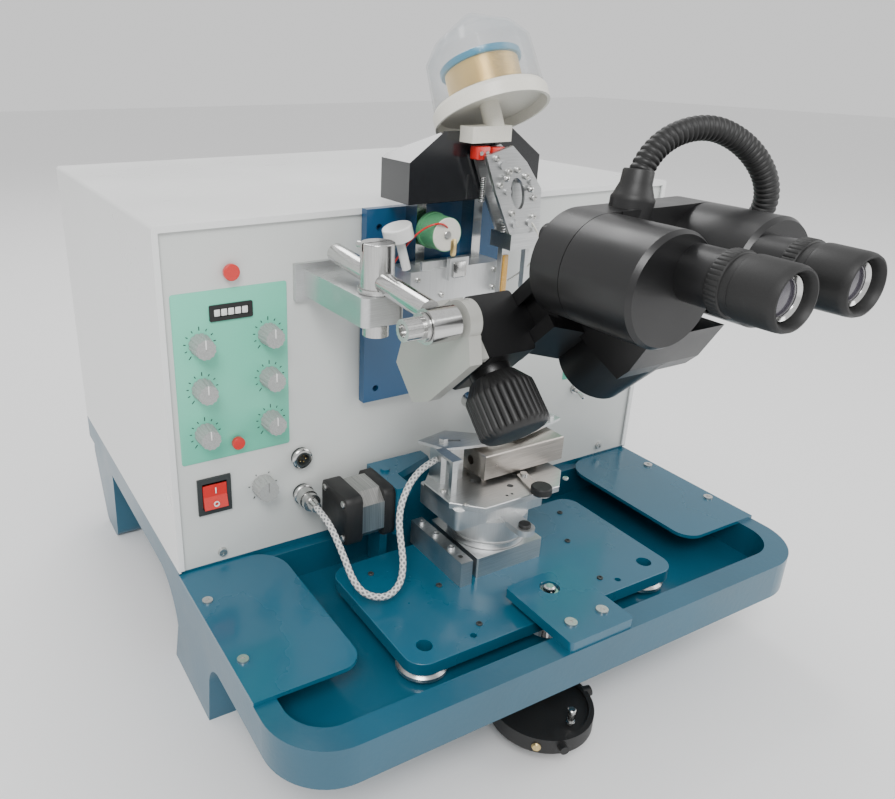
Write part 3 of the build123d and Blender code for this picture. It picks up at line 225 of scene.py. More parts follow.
def group(name, inputs, outputs):
    """An empty node group with float inputs given as name: value, and outputs as name: kind."""
    tree = bpy.data.node_groups.new(name, "ShaderNodeTree")
    for label, value in inputs.items():
        socket = tree.interface.new_socket(label, in_out="INPUT", socket_type="NodeSocketFloat")
        socket.default_value = value
    for label, kind in outputs.items():
        tree.interface.new_socket(label, in_out="OUTPUT", socket_type=kind)
    start = tree.nodes.new("NodeGroupInput")
    end = tree.nodes.new("NodeGroupOutput")
    return tree, start, end


def noise(tree, vector, scale, detail=3.0):
    """A noise node in a tree at a fixed scale."""
    node = tree.nodes.new("ShaderNodeTexNoise")
    node.inputs["Scale"].default_value = scale
    node.inputs["Detail"].default_value = detail
    tree.links.new(vector, node.inputs["Vector"])
    return node


def spread(tree, value, low, high):
    """A node that maps the middle of a noise value to the range low to high."""
    node = tree.nodes.new("ShaderNodeMapRange")
    node.inputs["From Min"].default_value = 0.3
    node.inputs["From Max"].default_value = 0.7
    node.inputs["To Min"].default_value = low
    node.inputs["To Max"].default_value = high
    tree.links.new(value, node.inputs["Value"])
    return node


def make_unevenness():
    """Handling marks: broad clouds and fine specks, as a mask round one half and a height."""
    tree, start, end = group(
        "unevenness",
        {"Cloud Size": 14.0, "Speck Size": 900.0},
        {"Cloud": "NodeSocketFloat", "Speck": "NodeSocketFloat"},
    )
    place = tree.nodes.new("ShaderNodeTexCoord").outputs["Object"]
    for label, detail in (("Cloud", 5.0), ("Speck", 2.0)):
        cloud = noise(tree, place, 10.0, detail)
        tree.links.new(start.outputs[f"{label} Size"], cloud.inputs["Scale"])
        tree.links.new(cloud.outputs["Fac"], end.inputs[label])
    return tree


def make_brushing():
    """Fine parallel lines of a milled or ground face, as a mask: noise stretched along one direction."""
    tree, start, end = group(
        "brushing",
        {"Along X": 40.0, "Along Y": 2500.0, "Along Z": 2500.0},
        {"Lines": "NodeSocketFloat"},
    )
    place = tree.nodes.new("ShaderNodeTexCoord").outputs["Object"]
    combine = tree.nodes.new("ShaderNodeCombineXYZ")
    for label in "XYZ":
        tree.links.new(start.outputs[f"Along {label}"], combine.inputs[label])
    stretch = tree.nodes.new("ShaderNodeVectorMath")
    stretch.operation = "MULTIPLY"
    tree.links.new(place, stretch.inputs[0])
    tree.links.new(combine.outputs["Vector"], stretch.inputs[1])
    lines = noise(tree, stretch.outputs["Vector"], 1.0, 4.0)
    tree.links.new(lines.outputs["Fac"], end.inputs["Lines"])
    return tree


UNEVENNESS = make_unevenness()
BRUSHING = make_brushing()


def effect(tree, kind, **values):
    """Places a shared effect in a material's tree, with its own values."""
    node = tree.nodes.new("ShaderNodeGroup")
    node.node_tree = kind
    for label, value in values.items():
        node.inputs[label.replace("_", " ")].default_value = value
    return node


def shade(tree, fac, dark, light):
    """A colour that goes from dark to light with a mask."""
    ramp = tree.nodes.new("ShaderNodeValToRGB")
    ramp.color_ramp.elements[0].position = 0.32
    ramp.color_ramp.elements[0].color = (*dark, 1)
    ramp.color_ramp.elements[1].position = 0.68
    ramp.color_ramp.elements[1].color = (*light, 1)
    tree.links.new(fac, ramp.inputs["Fac"])
    return ramp.outputs["Color"]


def bumped(tree, height, distance, strength, shader):
    """Feeds a height in metres to a shader's normal."""
    bump = tree.nodes.new("ShaderNodeBump")
    bump.inputs["Distance"].default_value = distance
    bump.inputs["Strength"].default_value = strength
    tree.links.new(height, bump.inputs["Height"])
    tree.links.new(bump.outputs["Normal"], shader.inputs["Normal"])


def new_material(name, roughness, metallic=0.0, coat=0.0, coat_roughness=0.1):
    """A material with a Principled shader and its constants."""
    material = bpy.data.materials.new(name)
    material.use_nodes = True
    tree = material.node_tree
    shader = tree.nodes["Principled BSDF"]
    shader.inputs["Roughness"].default_value = roughness
    shader.inputs["Metallic"].default_value = metallic
    shader.inputs["Coat Weight"].default_value = coat
    shader.inputs["Coat Roughness"].default_value = coat_roughness
    return material, tree, shader


def enamel(name, colour, roughness=0.3, peel=0.00012, peel_size=420.0, coat=0.3, drift=0.08):
    """Sprayed paint: a colour with slow clouds, orange peel and uneven gloss."""
    material, tree, shader = new_material(name, roughness, 0.0, coat, 0.12)
    marks = effect(tree, UNEVENNESS, Cloud_Size=9.0, Speck_Size=peel_size)
    dark = tuple(c * (1 - drift) for c in colour)
    light = tuple(min(1.0, c * (1 + drift)) for c in colour)
    tree.links.new(shade(tree, marks.outputs["Cloud"], dark, light), shader.inputs["Base Color"])
    gloss = spread(tree, marks.outputs["Cloud"], roughness * 0.8, roughness * 1.25)
    tree.links.new(gloss.outputs["Result"], shader.inputs["Roughness"])
    bumped(tree, marks.outputs["Speck"], peel, 0.35, shader)
    return material


def milled(name, colour, roughness=0.28, along_axis="X", line=0.00004, drift=0.12):
    """Ground or milled metal: fine lines along one axis, with clouds of handling marks."""
    material, tree, shader = new_material(name, roughness, 1.0)
    sizes = {f"Along_{a}": (45.0 if a == along_axis else 2600.0) for a in "XYZ"}
    lines = effect(tree, BRUSHING, **sizes)
    marks = effect(tree, UNEVENNESS, Cloud_Size=30.0, Speck_Size=1500.0)
    dark = tuple(c * (1 - drift) for c in colour)
    light = tuple(min(1.0, c * (1 + drift)) for c in colour)
    tree.links.new(shade(tree, lines.outputs["Lines"], dark, light), shader.inputs["Base Color"])
    gloss = spread(tree, marks.outputs["Cloud"], roughness * 0.75, roughness * 1.4)
    tree.links.new(gloss.outputs["Result"], shader.inputs["Roughness"])
    bumped(tree, lines.outputs["Lines"], line, 0.3, shader)
    return material


def moulding(name, colour, roughness=0.45, grain=0.00008, grain_size=1600.0, coat=0.0, drift=0.15):
    """Moulded plastic or crackle paint: fine even grain and slightly uneven gloss."""
    material, tree, shader = new_material(name, roughness, 0.0, coat, 0.2)
    marks = effect(tree, UNEVENNESS, Cloud_Size=22.0, Speck_Size=grain_size)
    dark = tuple(c * (1 - drift) for c in colour)
    light = tuple(min(1.0, c * (1 + drift)) for c in colour)
    tree.links.new(shade(tree, marks.outputs["Speck"], dark, light), shader.inputs["Base Color"])
    gloss = spread(tree, marks.outputs["Cloud"], roughness * 0.85, roughness * 1.2)
    tree.links.new(gloss.outputs["Result"], shader.inputs["Roughness"])
    bumped(tree, marks.outputs["Speck"], grain, 0.5, shader)
    return material


def clear_moulding(name, colour, roughness, alpha_low, alpha_high):
    """Thin clear moulding: seen through in the middle, with a film of fine marks and a painted edge sheen
    towards the rims.
    """
    material, tree, shader = new_material(name, roughness, 0.0, 0.4, 0.05)
    marks = effect(tree, UNEVENNESS, Cloud_Size=26.0, Speck_Size=700.0)
    light = tuple(min(1.0, c * 1.06) for c in colour)
    tree.links.new(shade(tree, marks.outputs["Cloud"], colour, light), shader.inputs["Base Color"])
    film = spread(tree, marks.outputs["Cloud"], alpha_low, alpha_high)
    # Painted edge sheen: the pale colour grows opaque where the surface turns away from the view, standing in
    # for the reflection at the rims.
    edge = tree.nodes.new("ShaderNodeLayerWeight")
    edge.inputs["Blend"].default_value = 0.28
    both = tree.nodes.new("ShaderNodeMath")
    both.operation = "MULTIPLY_ADD"
    both.inputs[1].default_value = 0.6
    both.use_clamp = True
    tree.links.new(edge.outputs["Facing"], both.inputs[0])
    tree.links.new(film.outputs["Result"], both.inputs[2])
    tree.links.new(both.outputs["Value"], shader.inputs["Alpha"])
    material.surface_render_method = "BLENDED"
    return material


def braid(name, light, dark):
    """Braided sleeve: two sets of strands that cross, worked out from the tube's own UV map."""
    material, tree, shader = new_material(name, 0.55)
    uv = tree.nodes.new("ShaderNodeUVMap")
    split = tree.nodes.new("ShaderNodeSeparateXYZ")
    tree.links.new(uv.outputs["UV"], split.inputs["Vector"])
    waves = []
    for sign in (1, -1):
        mix = tree.nodes.new("ShaderNodeMath")
        mix.operation = "MULTIPLY_ADD"
        mix.inputs[1].default_value = sign * 8.0
        tree.links.new(split.outputs["Y"], mix.inputs[0])
        tree.links.new(split.outputs["X"], mix.inputs[2])
        wave = tree.nodes.new("ShaderNodeMath")
        wave.operation = "SINE"
        tree.links.new(mix.outputs["Value"], wave.inputs[0])
        waves.append(wave.outputs["Value"])
    both = tree.nodes.new("ShaderNodeMath")
    both.operation = "MAXIMUM"
    tree.links.new(waves[0], both.inputs[0])
    tree.links.new(waves[1], both.inputs[1])
    mask = spread(tree, both.outputs["Value"], 0.0, 1.0)
    mask.inputs["From Min"].default_value = -0.4
    mask.inputs["From Max"].default_value = 0.9
    tree.links.new(shade(tree, mask.outputs["Result"], dark, light), shader.inputs["Base Color"])
    bumped(tree, mask.outputs["Result"], 0.0004, 0.8, shader)
    return material


def laminated(name, colour):
    """Stacked punchings: thin dark joints across the stack's axis X."""
    material, tree, shader = new_material(name, 0.35, 1.0)
    lines = effect(tree, BRUSHING, Along_X=1900.0, Along_Y=12.0, Along_Z=12.0)
    dark = tuple(c * 0.45 for c in colour)
    tree.links.new(shade(tree, lines.outputs["Lines"], dark, colour), shader.inputs["Base Color"])
    bumped(tree, lines.outputs["Lines"], 0.0002, 0.5, shader)
    return material


# Finishes: peel, line and grain are heights in metres, and their sizes are counts per metre
teal_casting = enamel(
    "teal_casting", (0.008, 0.084, 0.140), 0.33, peel=0.0003, peel_size=260, coat=0.35, drift=0.12
)
teal_plate = enamel("teal_plate", (0.011, 0.100, 0.165), 0.26, peel=0.00008, peel_size=700, coat=0.35)
deep_blue = enamel("deep_blue", (0.006, 0.070, 0.170), 0.30, peel=0.00006, peel_size=900, coat=0.2)
flange_blue = enamel("flange_blue", (0.02, 0.22, 0.36), 0.3)
hood_white = enamel("hood_white", (0.80, 0.81, 0.80), 0.32, peel=0.0001, peel_size=520, drift=0.02)
panel_grey = enamel("panel_grey", (0.63, 0.65, 0.63), 0.42, peel=0.00014, peel_size=1100, coat=0, drift=0.03)
bracket_grey = enamel(
    "bracket_grey", (0.40, 0.40, 0.37), 0.32, peel=0.00005, peel_size=900, coat=0.2, drift=0.05
)

bright_steel = milled("bright_steel", (0.60, 0.60, 0.59), 0.16, "Y")
turned_steel = milled("turned_steel", (0.54, 0.54, 0.53), 0.22, "Z")
milled_aluminium = milled("milled_aluminium", (0.62, 0.63, 0.63), 0.34)
satin_aluminium = milled("satin_aluminium", (0.72, 0.73, 0.73), 0.42, "Z", line=0.00003, drift=0.05)
heater_metal = milled("heater_metal", (0.46, 0.42, 0.38), 0.36, line=0.00005, drift=0.2)
screw_metal = milled("screw_metal", (0.62, 0.62, 0.60), 0.3)
brass = milled("brass", (0.70, 0.54, 0.26), 0.3, "Z")
gold_wire = milled("gold_wire", (0.86, 0.62, 0.26), 0.30, line=0.0002, drift=0.2)
core_steel = laminated("core_steel", (0.62, 0.62, 0.60))

label_green = moulding("label_green", (0.16, 0.62, 0.44), 0.35, 0.00002, 1800, coat=0.2, drift=0.03)
ink_black = moulding("ink_black", (0.03, 0.035, 0.035), 0.5, 0.00001, 1800)
scope_black = moulding("scope_black", (0.006, 0.006, 0.0065), 0.36, 0.00006, 1900, coat=0.1)
rubber_black = moulding("rubber_black", (0.010, 0.010, 0.010), 0.5, 0.0001, 1200)
smoked = moulding("smoked_acrylic", (0.015, 0.016, 0.018), 0.12, 0.00001, 300, coat=0.6)
eye_glass = moulding("eye_glass", (0.05, 0.045, 0.06), 0.06, 0.000005, 200, coat=1)
knob_grey = moulding("knob_grey", (0.36, 0.37, 0.36), 0.45, 0.00004, 1500)
cream = moulding("cream", (0.78, 0.76, 0.68), 0.4, 0.00004, 1200, coat=0.1, drift=0.04)
white_gloss = moulding("white_gloss", (0.84, 0.84, 0.82), 0.22, 0.00001, 900, coat=0.4, drift=0.02)
signal_red = moulding("signal_red", (0.62, 0.022, 0.016), 0.28, 0.00001, 1200, coat=0.4, drift=0.06)
coil_green = moulding("coil_green", (0.10, 0.34, 0.16), 0.4, 0.00003, 1400, coat=0.1)
amber = moulding("amber_sheet", (0.60, 0.33, 0.06), 0.25, 0.00001, 900, coat=0.3)
cover_clear = clear_moulding("cover_clear", (0.52, 0.55, 0.57), 0.06, 0.01, 0.05)
cable_braid = braid("cable_braid", (0.70, 0.70, 0.68), (0.20, 0.21, 0.22))

# The finish of each node that the CAD made
NODE_FINISHES = [
    (teal_casting, ["base_casting"]),
    (teal_plate, ["cover_plates", "bridge_tab", "platform", "feed_bracket"]),
    (deep_blue, ["head_mount_plate"]),
    (hood_white, ["hood"]),
    (panel_grey, ["front_panel"]),
    (bracket_grey, ["tilt_bracket"]),
    (screw_metal, ["screws"]),
    (bright_steel, ["arm_rod", "head_guides", "lever_gimbal", "manipulator_lever", "transducer"]),
    (turned_steel, ["platform_glides", "post_clamp", "tilt_knob", "cable_plug", "clamp_lever"]),
    (milled_aluminium, ["stage_blocks", "cross_slide", "work_table", "work_clamp"]),
    (milled_aluminium, ["arm_block", "wire_clamp"]),
    (satin_aluminium, ["rotary_ring", "head_carriage"]),
    (heater_metal, ["heater_block"]),
    (core_steel, ["power_supply", "stepper_motor"]),
    (gold_wire, ["wire_spool"]),
    (ink_black, ["panel_fittings"]),
    (scope_black, ["focus_block", "focus_knob", "microscope_body", "left_drum", "right_drum"]),
    (rubber_black, ["left_eyepiece", "right_eyepiece", "gooseneck_lamp"]),
    (rubber_black, ["display_windows", "manipulator_puck"]),
    (smoked, ["shroud"]),
    (knob_grey, [*(f"knob_{n}" for n in range(1, 7)), "brightness_knob", "right_knob"]),
    (signal_red, ["rocker", "reset_button", "test_button"]),
    (coil_green, ["lift_coil"]),
    (cream, ["spool_base"]),
    (white_gloss, ["head_knob"]),
    (cover_clear, ["spool_cover"]),
    (cable_braid, ["heater_cable"]),
]
for finish, node_names in NODE_FINISHES:
    for node_name in node_names:
        nodes[node_name].data.materials.clear()
        nodes[node_name].data.materials.append(finish)


def place(piece, body, material, slot):
    """Gives a piece its finish and the body that it rides on; the slot is not used."""
    piece.data.materials.clear()
    piece.data.materials.append(material)
    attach(piece, body)
    return piece


def on_panel(name, outline, low, high, body, material, slot, bevel=0.2):
    """A slab whose outline is (across, height) in mm, raised from the panel towards the operator."""
    piece = slab(name, outline, low, high, TOWARDS, across=ACROSS, bevel=bevel)
    return place(piece, body, material, slot)


def row_of(name, profile, places, direction, body, material, slot, sides=20):
    """One turned piece at each place in mm, numbered from zero."""
    for k, centre in enumerate(places):
        place(turned(f"{name}_{k}", profile, centre, direction, sides), body, material, slot)


# Green label plates, one at each end of the control panel
LABEL_INNER = 142.4
LABEL_OUTER = 230.5
LABEL_BOTTOM = 91.7
LABEL_TOP = 224
LABEL_THICK = 0.5
LABEL_CORNER = 2
for label, side in (("left_label", -1), ("right_label", 1)):
    centre = (side * (LABEL_INNER + LABEL_OUTER) / 2, (LABEL_BOTTOM + LABEL_TOP) / 2)
    outline = rounded(LABEL_OUTER - LABEL_INNER, LABEL_TOP - LABEL_BOTTOM, LABEL_CORNER, centre)
    on_panel(label, outline, 0, LABEL_THICK, "base", label_green, "panel_enamel", 0.1)

# Dial scales
INK_WIDTH = 0.7
INK_HEIGHT = 0.12
INK_SINK = 0.05


def dial_scale(name, centre, inner, outer, count):
    """Thin bars of ink on a label, one at each of count angles on an arc of 280 degrees.

    Each runs from the inner to the outer radius, or half as far but for every fifth."""
    angle = np.radians(np.linspace(230, -50, count))
    away = np.stack([np.cos(angle), np.sin(angle)], -1)
    side = np.stack([-away[:, 1], away[:, 0]], -1) * INK_WIDTH / 2
    reach = np.where(np.arange(count) % 5 == 0, outer, (inner + outer) / 2 + 0.3)[:, None]
    near = away * inner
    far = away * reach
    flat = np.stack([near - side, far - side, far + side, near + side], 1) + centre
    levels = [LABEL_THICK - INK_SINK, LABEL_THICK + INK_HEIGHT]
    layers = [np.stack([flat[..., 0], np.full(flat.shape[:2], -h), flat[..., 1]], -1) for h in levels]
    index = np.arange(count * 4).reshape(count, 4)
    top = index + count * 4
    faces = top.tolist() + index[:, ::-1].tolist()
    for k in range(4):
        j = (k + 1) % 4
        faces += np.stack([index[:, k], index[:, j], top[:, j], top[:, k]], -1).tolist()
    piece = mesh_piece(name, at(np.concatenate(layers).reshape(-1, 3)), faces)
    return place(piece, "base", ink_black, "black_plastic")


# Scales and pointers of the six knobs, numbered along each row from the top, and the brightness scale
KNOB_COLUMNS = (-211, -158)
KNOB_ROWS = (185.5, 151, 115)
KNOB_FACE = 13.4
POINTER_HEIGHT = 1.5
BRIGHTNESS_KNOB = (-166.5, 59.3)
number = 1
for knob_z in KNOB_ROWS:
    for knob_x in KNOB_COLUMNS:
        dial_scale(f"dial_scale_{number}", (knob_x, knob_z), 10.4, 13.4, 11)
        pointer = rounded(0.9, 7, 0.4, (knob_x, knob_z + 3.8))
        on_panel(
            f"pointer_{number}", pointer, KNOB_FACE, KNOB_FACE + POINTER_HEIGHT,
            f"knob_{number}", white_gloss, "white_plastic", 0.1,
        )
        number += 1
dial_scale("dial_scale_brightness", BRIGHTNESS_KNOB, 11, 13, 6)

# Counter wheels and the red display behind their windows
WINDOW = (26, 5.6, 0.5)
COUNTER_Z = 207
FIRST_WHEEL_X = -197
WHEEL_PITCH = 5.3
counter = rounded(*WINDOW, (-186.4, COUNTER_Z))
on_panel("counter_window", counter, 0.7, 1.0, "base", rubber_black, "black_plastic", 0.05)
for k in range(5):
    wheel = rounded(4.3, 5, 0.4, (FIRST_WHEEL_X + WHEEL_PITCH * k, COUNTER_Z))
    on_panel(f"counter_wheel_{k}", wheel, 0.9, 1.3, "base", white_gloss, "white_plastic", 0.1)
display = rounded(*WINDOW, (172, 206))
on_panel("display_window", display, 0.7, 1.1, "base", signal_red, "button_red", 0.05)

# Marks of the mains switch, on the upper and lower halves of the rocker
ROCKER_X = -207
on_bar = slab(
    "rocker_on", rounded(1, 5, 0.4), 4.3, 4.9, TOWARDS, origin=(ROCKER_X, 0, 67.5), across=ACROSS, bevel=0.1
)
place(on_bar, "rocker", white_gloss, "white_plastic")
off_mark = [(1.5, 4.7), (2.3, 4.7), (2.3, 5.5), (1.5, 5.5)]
off_ring = turned("rocker_off", off_mark, (ROCKER_X, 0, 55.8), TOWARDS, 28, closed=True)
place(off_ring, "rocker", white_gloss, "white_plastic")

# Nickelled ring nuts of the two round connectors, and five contacts in the open one
SOCKET = (-133.3, 0, 76.9)
CABLE_SOCKET = (-132.3, 0, 43.5)
CONTACT_RADIUS = 2.9
CONTACTS = 5
ring_nut = [(6.1, 2.9), (8.4, 2.9), (8.8, 3.4), (8.8, 5.2), (8.2, 5.8), (7.2, 6.4), (6.1, 6.4)]
for label, centre in (("upper_ring_nut", SOCKET), ("lower_ring_nut", CABLE_SOCKET)):
    place(turned(label, ring_nut, centre, TOWARDS, 48, closed=True), "base", turned_steel, "bare_steel")
contact_turns = [k * FULL / CONTACTS for k in range(CONTACTS)]
contact_places = [
    (SOCKET[0] + CONTACT_RADIUS * math.cos(a), 0, SOCKET[2] + CONTACT_RADIUS * math.sin(a))
    for a in contact_turns
]
contact = [(0, 2), (0.6, 2), (0.6, 5.2), (0.3, 5.6), (0, 5.6)]
row_of("socket_contact", contact, contact_places, TOWARDS, "base", brass, "bare_steel", 14)

# Toggle switches under the right label, with their bats down
toggles = [(160, 0, 80), (176, 0, 80)]
toggle_bush = [(0, 0), (5.2, 0), (5.2, 2), (3.4, 2.2), (3.4, 5), (0, 5)]
toggle_bat = [(0, 4), (1.1, 4.2), (1.9, 13), (1.6, 14.4), (0, 15)]
row_of("toggle_bush", toggle_bush, toggles, TOWARDS, "base", turned_steel, "bare_steel", 32)
row_of("toggle_bat", toggle_bat, toggles, (0, -0.92, -0.38), "base", bright_steel, "bare_steel", 24)

# Motor end caps, in black, over the bare laminations
MOTOR_Y = -31
MOTOR_Z = 37
MOTOR_CAPS = {"motor_cap_front": (-84.4, -73.6), "motor_cap_back": (-118.4, -103.6)}
MOTOR_CAP_SIZE = 42.9
MOTOR_SCREW_OFFSET = 15.5
for label, (left, right) in MOTOR_CAPS.items():
    cap = rounded(MOTOR_CAP_SIZE, MOTOR_CAP_SIZE, 5.2, (MOTOR_Y, MOTOR_Z), 3)
    piece = slab(label, cap, left, right, ACROSS, across=(0, 1, 0), bevel=0.6)
    place(piece, "base", rubber_black, "motor_black")
motor_screws = [
    (-118, MOTOR_Y + sy * MOTOR_SCREW_OFFSET, MOTOR_Z + sz * MOTOR_SCREW_OFFSET)
    for sy, sz in ((-1, -1), (-1, 1), (1, -1), (1, 1))
]
motor_screw = [(0, 0), (2.8, 0), (2.8, 1.2), (2.2, 1.7), (0, 1.7)]
row_of("motor_screw", motor_screw, motor_screws, (-1, 0, 0), "base", screw_metal, "screw_steel", 24)

# Heater cable: the route of the part's source
CABLE_ROUTE = [
    (-132.3, -28, 43.5), (-132.5, -44, 43), (-132.5, -60, 36), (-132, -75, 23), (-131, -87, 10),
    (-125.5, -96.5, 2.5), (-111, -102.5, -0.8), (-97, -99.5, 5), (-91, -93, 18), (-89, -85, 32),
    (-86, -76, 47), (-78, -69, 60), (-65, -62, 70), (-50, -57, 75), (-37.9, -54, 76),
]
CABLE_RADIUS = 2.6
CABLE_STEPS = 140
STRANDS_ROUND = 4
STRANDS_ALONG = 0.42


def braided_tube(name, path, radius, sides=24):
    """A tube along a path with a UV map for the braid.

    U = turns round the tube times the strands, and V = run along it in radii times the strands' pitch."""
    rings = along(path, radius, sides)
    rows = len(rings)
    piece = mesh_piece(name, at(rings.reshape(-1, 3)), grid_faces(rows, sides), 60)
    layer = piece.data.uv_layers.new(name="UVMap")
    corners = np.zeros(len(piece.data.loops), int)
    piece.data.loops.foreach_get("vertex_index", corners)
    run = np.concatenate([[0], np.cumsum(np.linalg.norm(np.diff(path, axis=0), axis=1))])
    around = (corners % sides).astype(float)
    quads = np.arange((rows - 1) * sides * 4)
    last = (quads // 4) % sides == sides - 1
    seam = around[quads]
    seam[last & (seam < 1)] = sides
    around[quads] = seam
    u = around / sides * FULL * STRANDS_ROUND
    v = run[corners // sides] / radius * STRANDS_ALONG
    layer.data.foreach_set("uv", np.stack([u, v], -1).ravel())
    return piece


cable_path = smooth_path(CABLE_ROUTE, CABLE_STEPS)
cable = braided_tube("heater_cable_braided", cable_path, CABLE_RADIUS)
cable.data.materials.append(cable_braid)
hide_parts("heater_cable")
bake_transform(cable)

# Gooseneck lamp: ribs stand on the flexible tube at an even pitch, between a collar and an end piece
LAMP_ROUTE = [
    (4, -178, 298), (7, -177, 316), (25, -178, 334), (52, -184, 340), (77, -191, 330),
    (95, -197, 312), (104, -197, 292), (103, -189, 274), (93, -182, 265),
]
RIB_PITCH = 3.6
RIB_DEPTH = 0.9
NECK_RADIUS = 6.6
lamp_path = smooth_path(LAMP_ROUTE, 1100)
lamp_run = np.linalg.norm(np.diff(lamp_path, axis=0), axis=1).sum()
rib_phase = np.linspace(0, lamp_run / RIB_PITCH * FULL, len(lamp_path))
neck_radius = NECK_RADIUS + RIB_DEPTH * np.sqrt(np.clip(0.5 + 0.5 * np.cos(rib_phase), 0, 1))
gooseneck = swept("gooseneck_ribbed", lamp_path, neck_radius, 28, 60)
collar = [(0, -0.4), (13, -0.4), (13, 1.5), (12, 3), (9.4, 10), (9.2, 17), (8.6, 18), (0, 18)]
lamp_collar = turned("lamp_collar", collar, lamp_path[0], unit(lamp_path[8] - lamp_path[0]), 56)
end_collar = [(0, 0), (9.5, 0), (9.5, 3), (8.8, 11), (8, 12), (0, 12)]
lamp_end = turned("lamp_end_collar", end_collar, lamp_path[-1], unit(lamp_path[-9] - lamp_path[-1]), 48)
lamp = joined("gooseneck_lamp_dressed", [gooseneck, lamp_collar, lamp_end])
place(lamp, "scope", rubber_black, "lamp_black")
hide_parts("gooseneck_lamp")

# Wire spool: gold winding between two blue flanges, on the leaning axis of its base
LEAN = math.radians(28)
SPOOL_AXIS = (0, math.sin(LEAN), math.cos(LEAN))
SPOOL_BASE = (0, -45, 337)
BORE = 4.4
WINDING_LOW = 14.5
WINDING_HIGH = 35.2
WINDING_RADIUS = 26
WIRE_PITCH = 0.78
WIRE_DEPTH = 0.16
winding = [(BORE, WINDING_LOW), (24, WINDING_LOW)]
winding += [
    (WINDING_RADIUS + WIRE_DEPTH * math.sin(z * FULL / WIRE_PITCH), z)
    for z in np.linspace(WINDING_LOW, WINDING_HIGH, 160)
]
winding += [(BORE, WINDING_HIGH)]
spool_winding = turned("spool_winding", winding, SPOOL_BASE, SPOOL_AXIS, 96, 70, closed=True)
place(spool_winding, "wire_spool", gold_wire, "spool_gold")
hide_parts("wire_spool")
SPOOL_FLANGES = {
    "spool_flange": [
        (4.1, 35.2), (28.4, 35.2), (29, 36), (29, 39.4), (28.4, 40),
        (24, 40), (23, 38.6), (8, 38.6), (7, 40), (4.1, 40),
    ],
    "spool_low_flange": [(4.1, 12.6), (27.6, 12.6), (28, 13.2), (28, 14), (27.6, 14.5), (4.1, 14.5)],
}
for label, flange in SPOOL_FLANGES.items():
    piece = turned(label, flange, SPOOL_BASE, SPOOL_AXIS, 96, 40, closed=True)
    place(piece, "wire_spool", flange_blue, "spool_gold")

# Eyepieces: rubber cup, knurled ring, nickelled rim and a domed eye lens
SCOPE_X = 14
SCOPE_Z = 271
HALF_EYE_SPACING = 28
LENS_EDGE = 294
LENS_RADIUS = 10
LENS_DOME = 1.7
eye_cup = [
    (0, 250), (11.3, 250), (11.4, 262.4), (17.2, 262.4), (17.5, 263), (17.5, 270.6), (17.2, 271),
    (16.6, 271.2), (16.6, 275.6), (17.4, 276.4), (17.6, 278), (17.3, 297), (17, 299.5), (16, 301.6),
    (15, 301.8), (13.8, 300.2), (13.2, 298), (12.8, 294.2), (0, 294),
]
knurled_ring = [(17.7, 263.4, 0), (18, 264, 0.5), (18, 270, 0.5), (17.7, 270.6, 0)]
eye_rim = [(9.8, 294.1), (12.7, 294.1), (12.7, 295.4), (11.6, 296.4), (10.4, 295.6), (9.8, 294.8)]
eye_lens = [(0, 293.5)]
eye_lens += [
    (LENS_RADIUS * math.sin(a), LENS_EDGE + LENS_DOME * math.cos(a))
    for a in np.linspace(math.pi / 2, 0.01, 12)
]
for eyepiece, side in (("left_eyepiece", -1), ("right_eyepiece", 1)):
    foot = (SCOPE_X + side * HALF_EYE_SPACING, 0, SCOPE_Z)
    shell = turned(f"{eyepiece}_shell", eye_cup, foot, TOWARDS, 96)
    place(shell, eyepiece, rubber_black, "eyepiece_black")
    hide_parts(eyepiece)
    grip = ribbed(f"{eyepiece}_grip", knurled_ring, foot, TOWARDS, 40)
    place(grip, eyepiece, rubber_black, "eyepiece_black")
    rim = turned(f"{eyepiece}_rim", eye_rim, foot, TOWARDS, 72, closed=True)
    place(rim, eyepiece, bright_steel, "bare_steel")
    lens = turned(f"{eyepiece}_lens", eye_lens, foot, TOWARDS, 64)
    place(lens, eyepiece, eye_glass, "eyepiece_black")

# Focusing knob: thirty moulded ribs over the cone and the grip, as (radius, distance, rib depth)
PINION = (0, -math.sqrt(0.5), -math.sqrt(0.5))
PINION_BASE = (-60, -122, 202)
FOCUS_RIBS = 30
focus_profile = [
    (6, 3.4, 0), (6, 27.4, 0), (15.2, 27.4, 0), (16.2, 28.6, 0), (22, 36.4, 0.6),
    (23.2, 38, 1.5), (23.4, 40, 1.5), (23.6, 62, 1.5), (23.4, 64.2, 1.5), (22, 65.4, 0.3),
    (21, 66.6, 0), (19.6, 67.6, 0), (17.5, 68.2, 0), (0, 68.2, 0),
]
focus_grip = ribbed("focus_knob_ribbed", focus_profile, PINION_BASE, PINION, FOCUS_RIBS)
place(focus_grip, "focus_knob", rubber_black, "knob_black")
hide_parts("focus_knob")

# Lift coil: cream front plate with a screw and a solder lug on the green former
COIL = (-37, -50, 257)
coil_disc = [(0, -0.8), (11.6, -0.8), (12.1, -0.4), (12.1, 0), (11.6, 0.4), (0, 0.4)]
place(turned("coil_plate", coil_disc, COIL, TOWARDS, 64), "base", cream, "cream_plastic")
coil_head = [(0, 0.2), (3, 0.2), (3, 1.3), (2.5, 1.8), (0, 1.8)]
place(turned("coil_screw", coil_head, COIL, TOWARDS, 28), "base", screw_metal, "screw_steel")
on_panel("coil_lug", rounded(5, 13, 2, (-31, 247)), 50.2, 51, "base", brass, "bare_steel", 0.15)

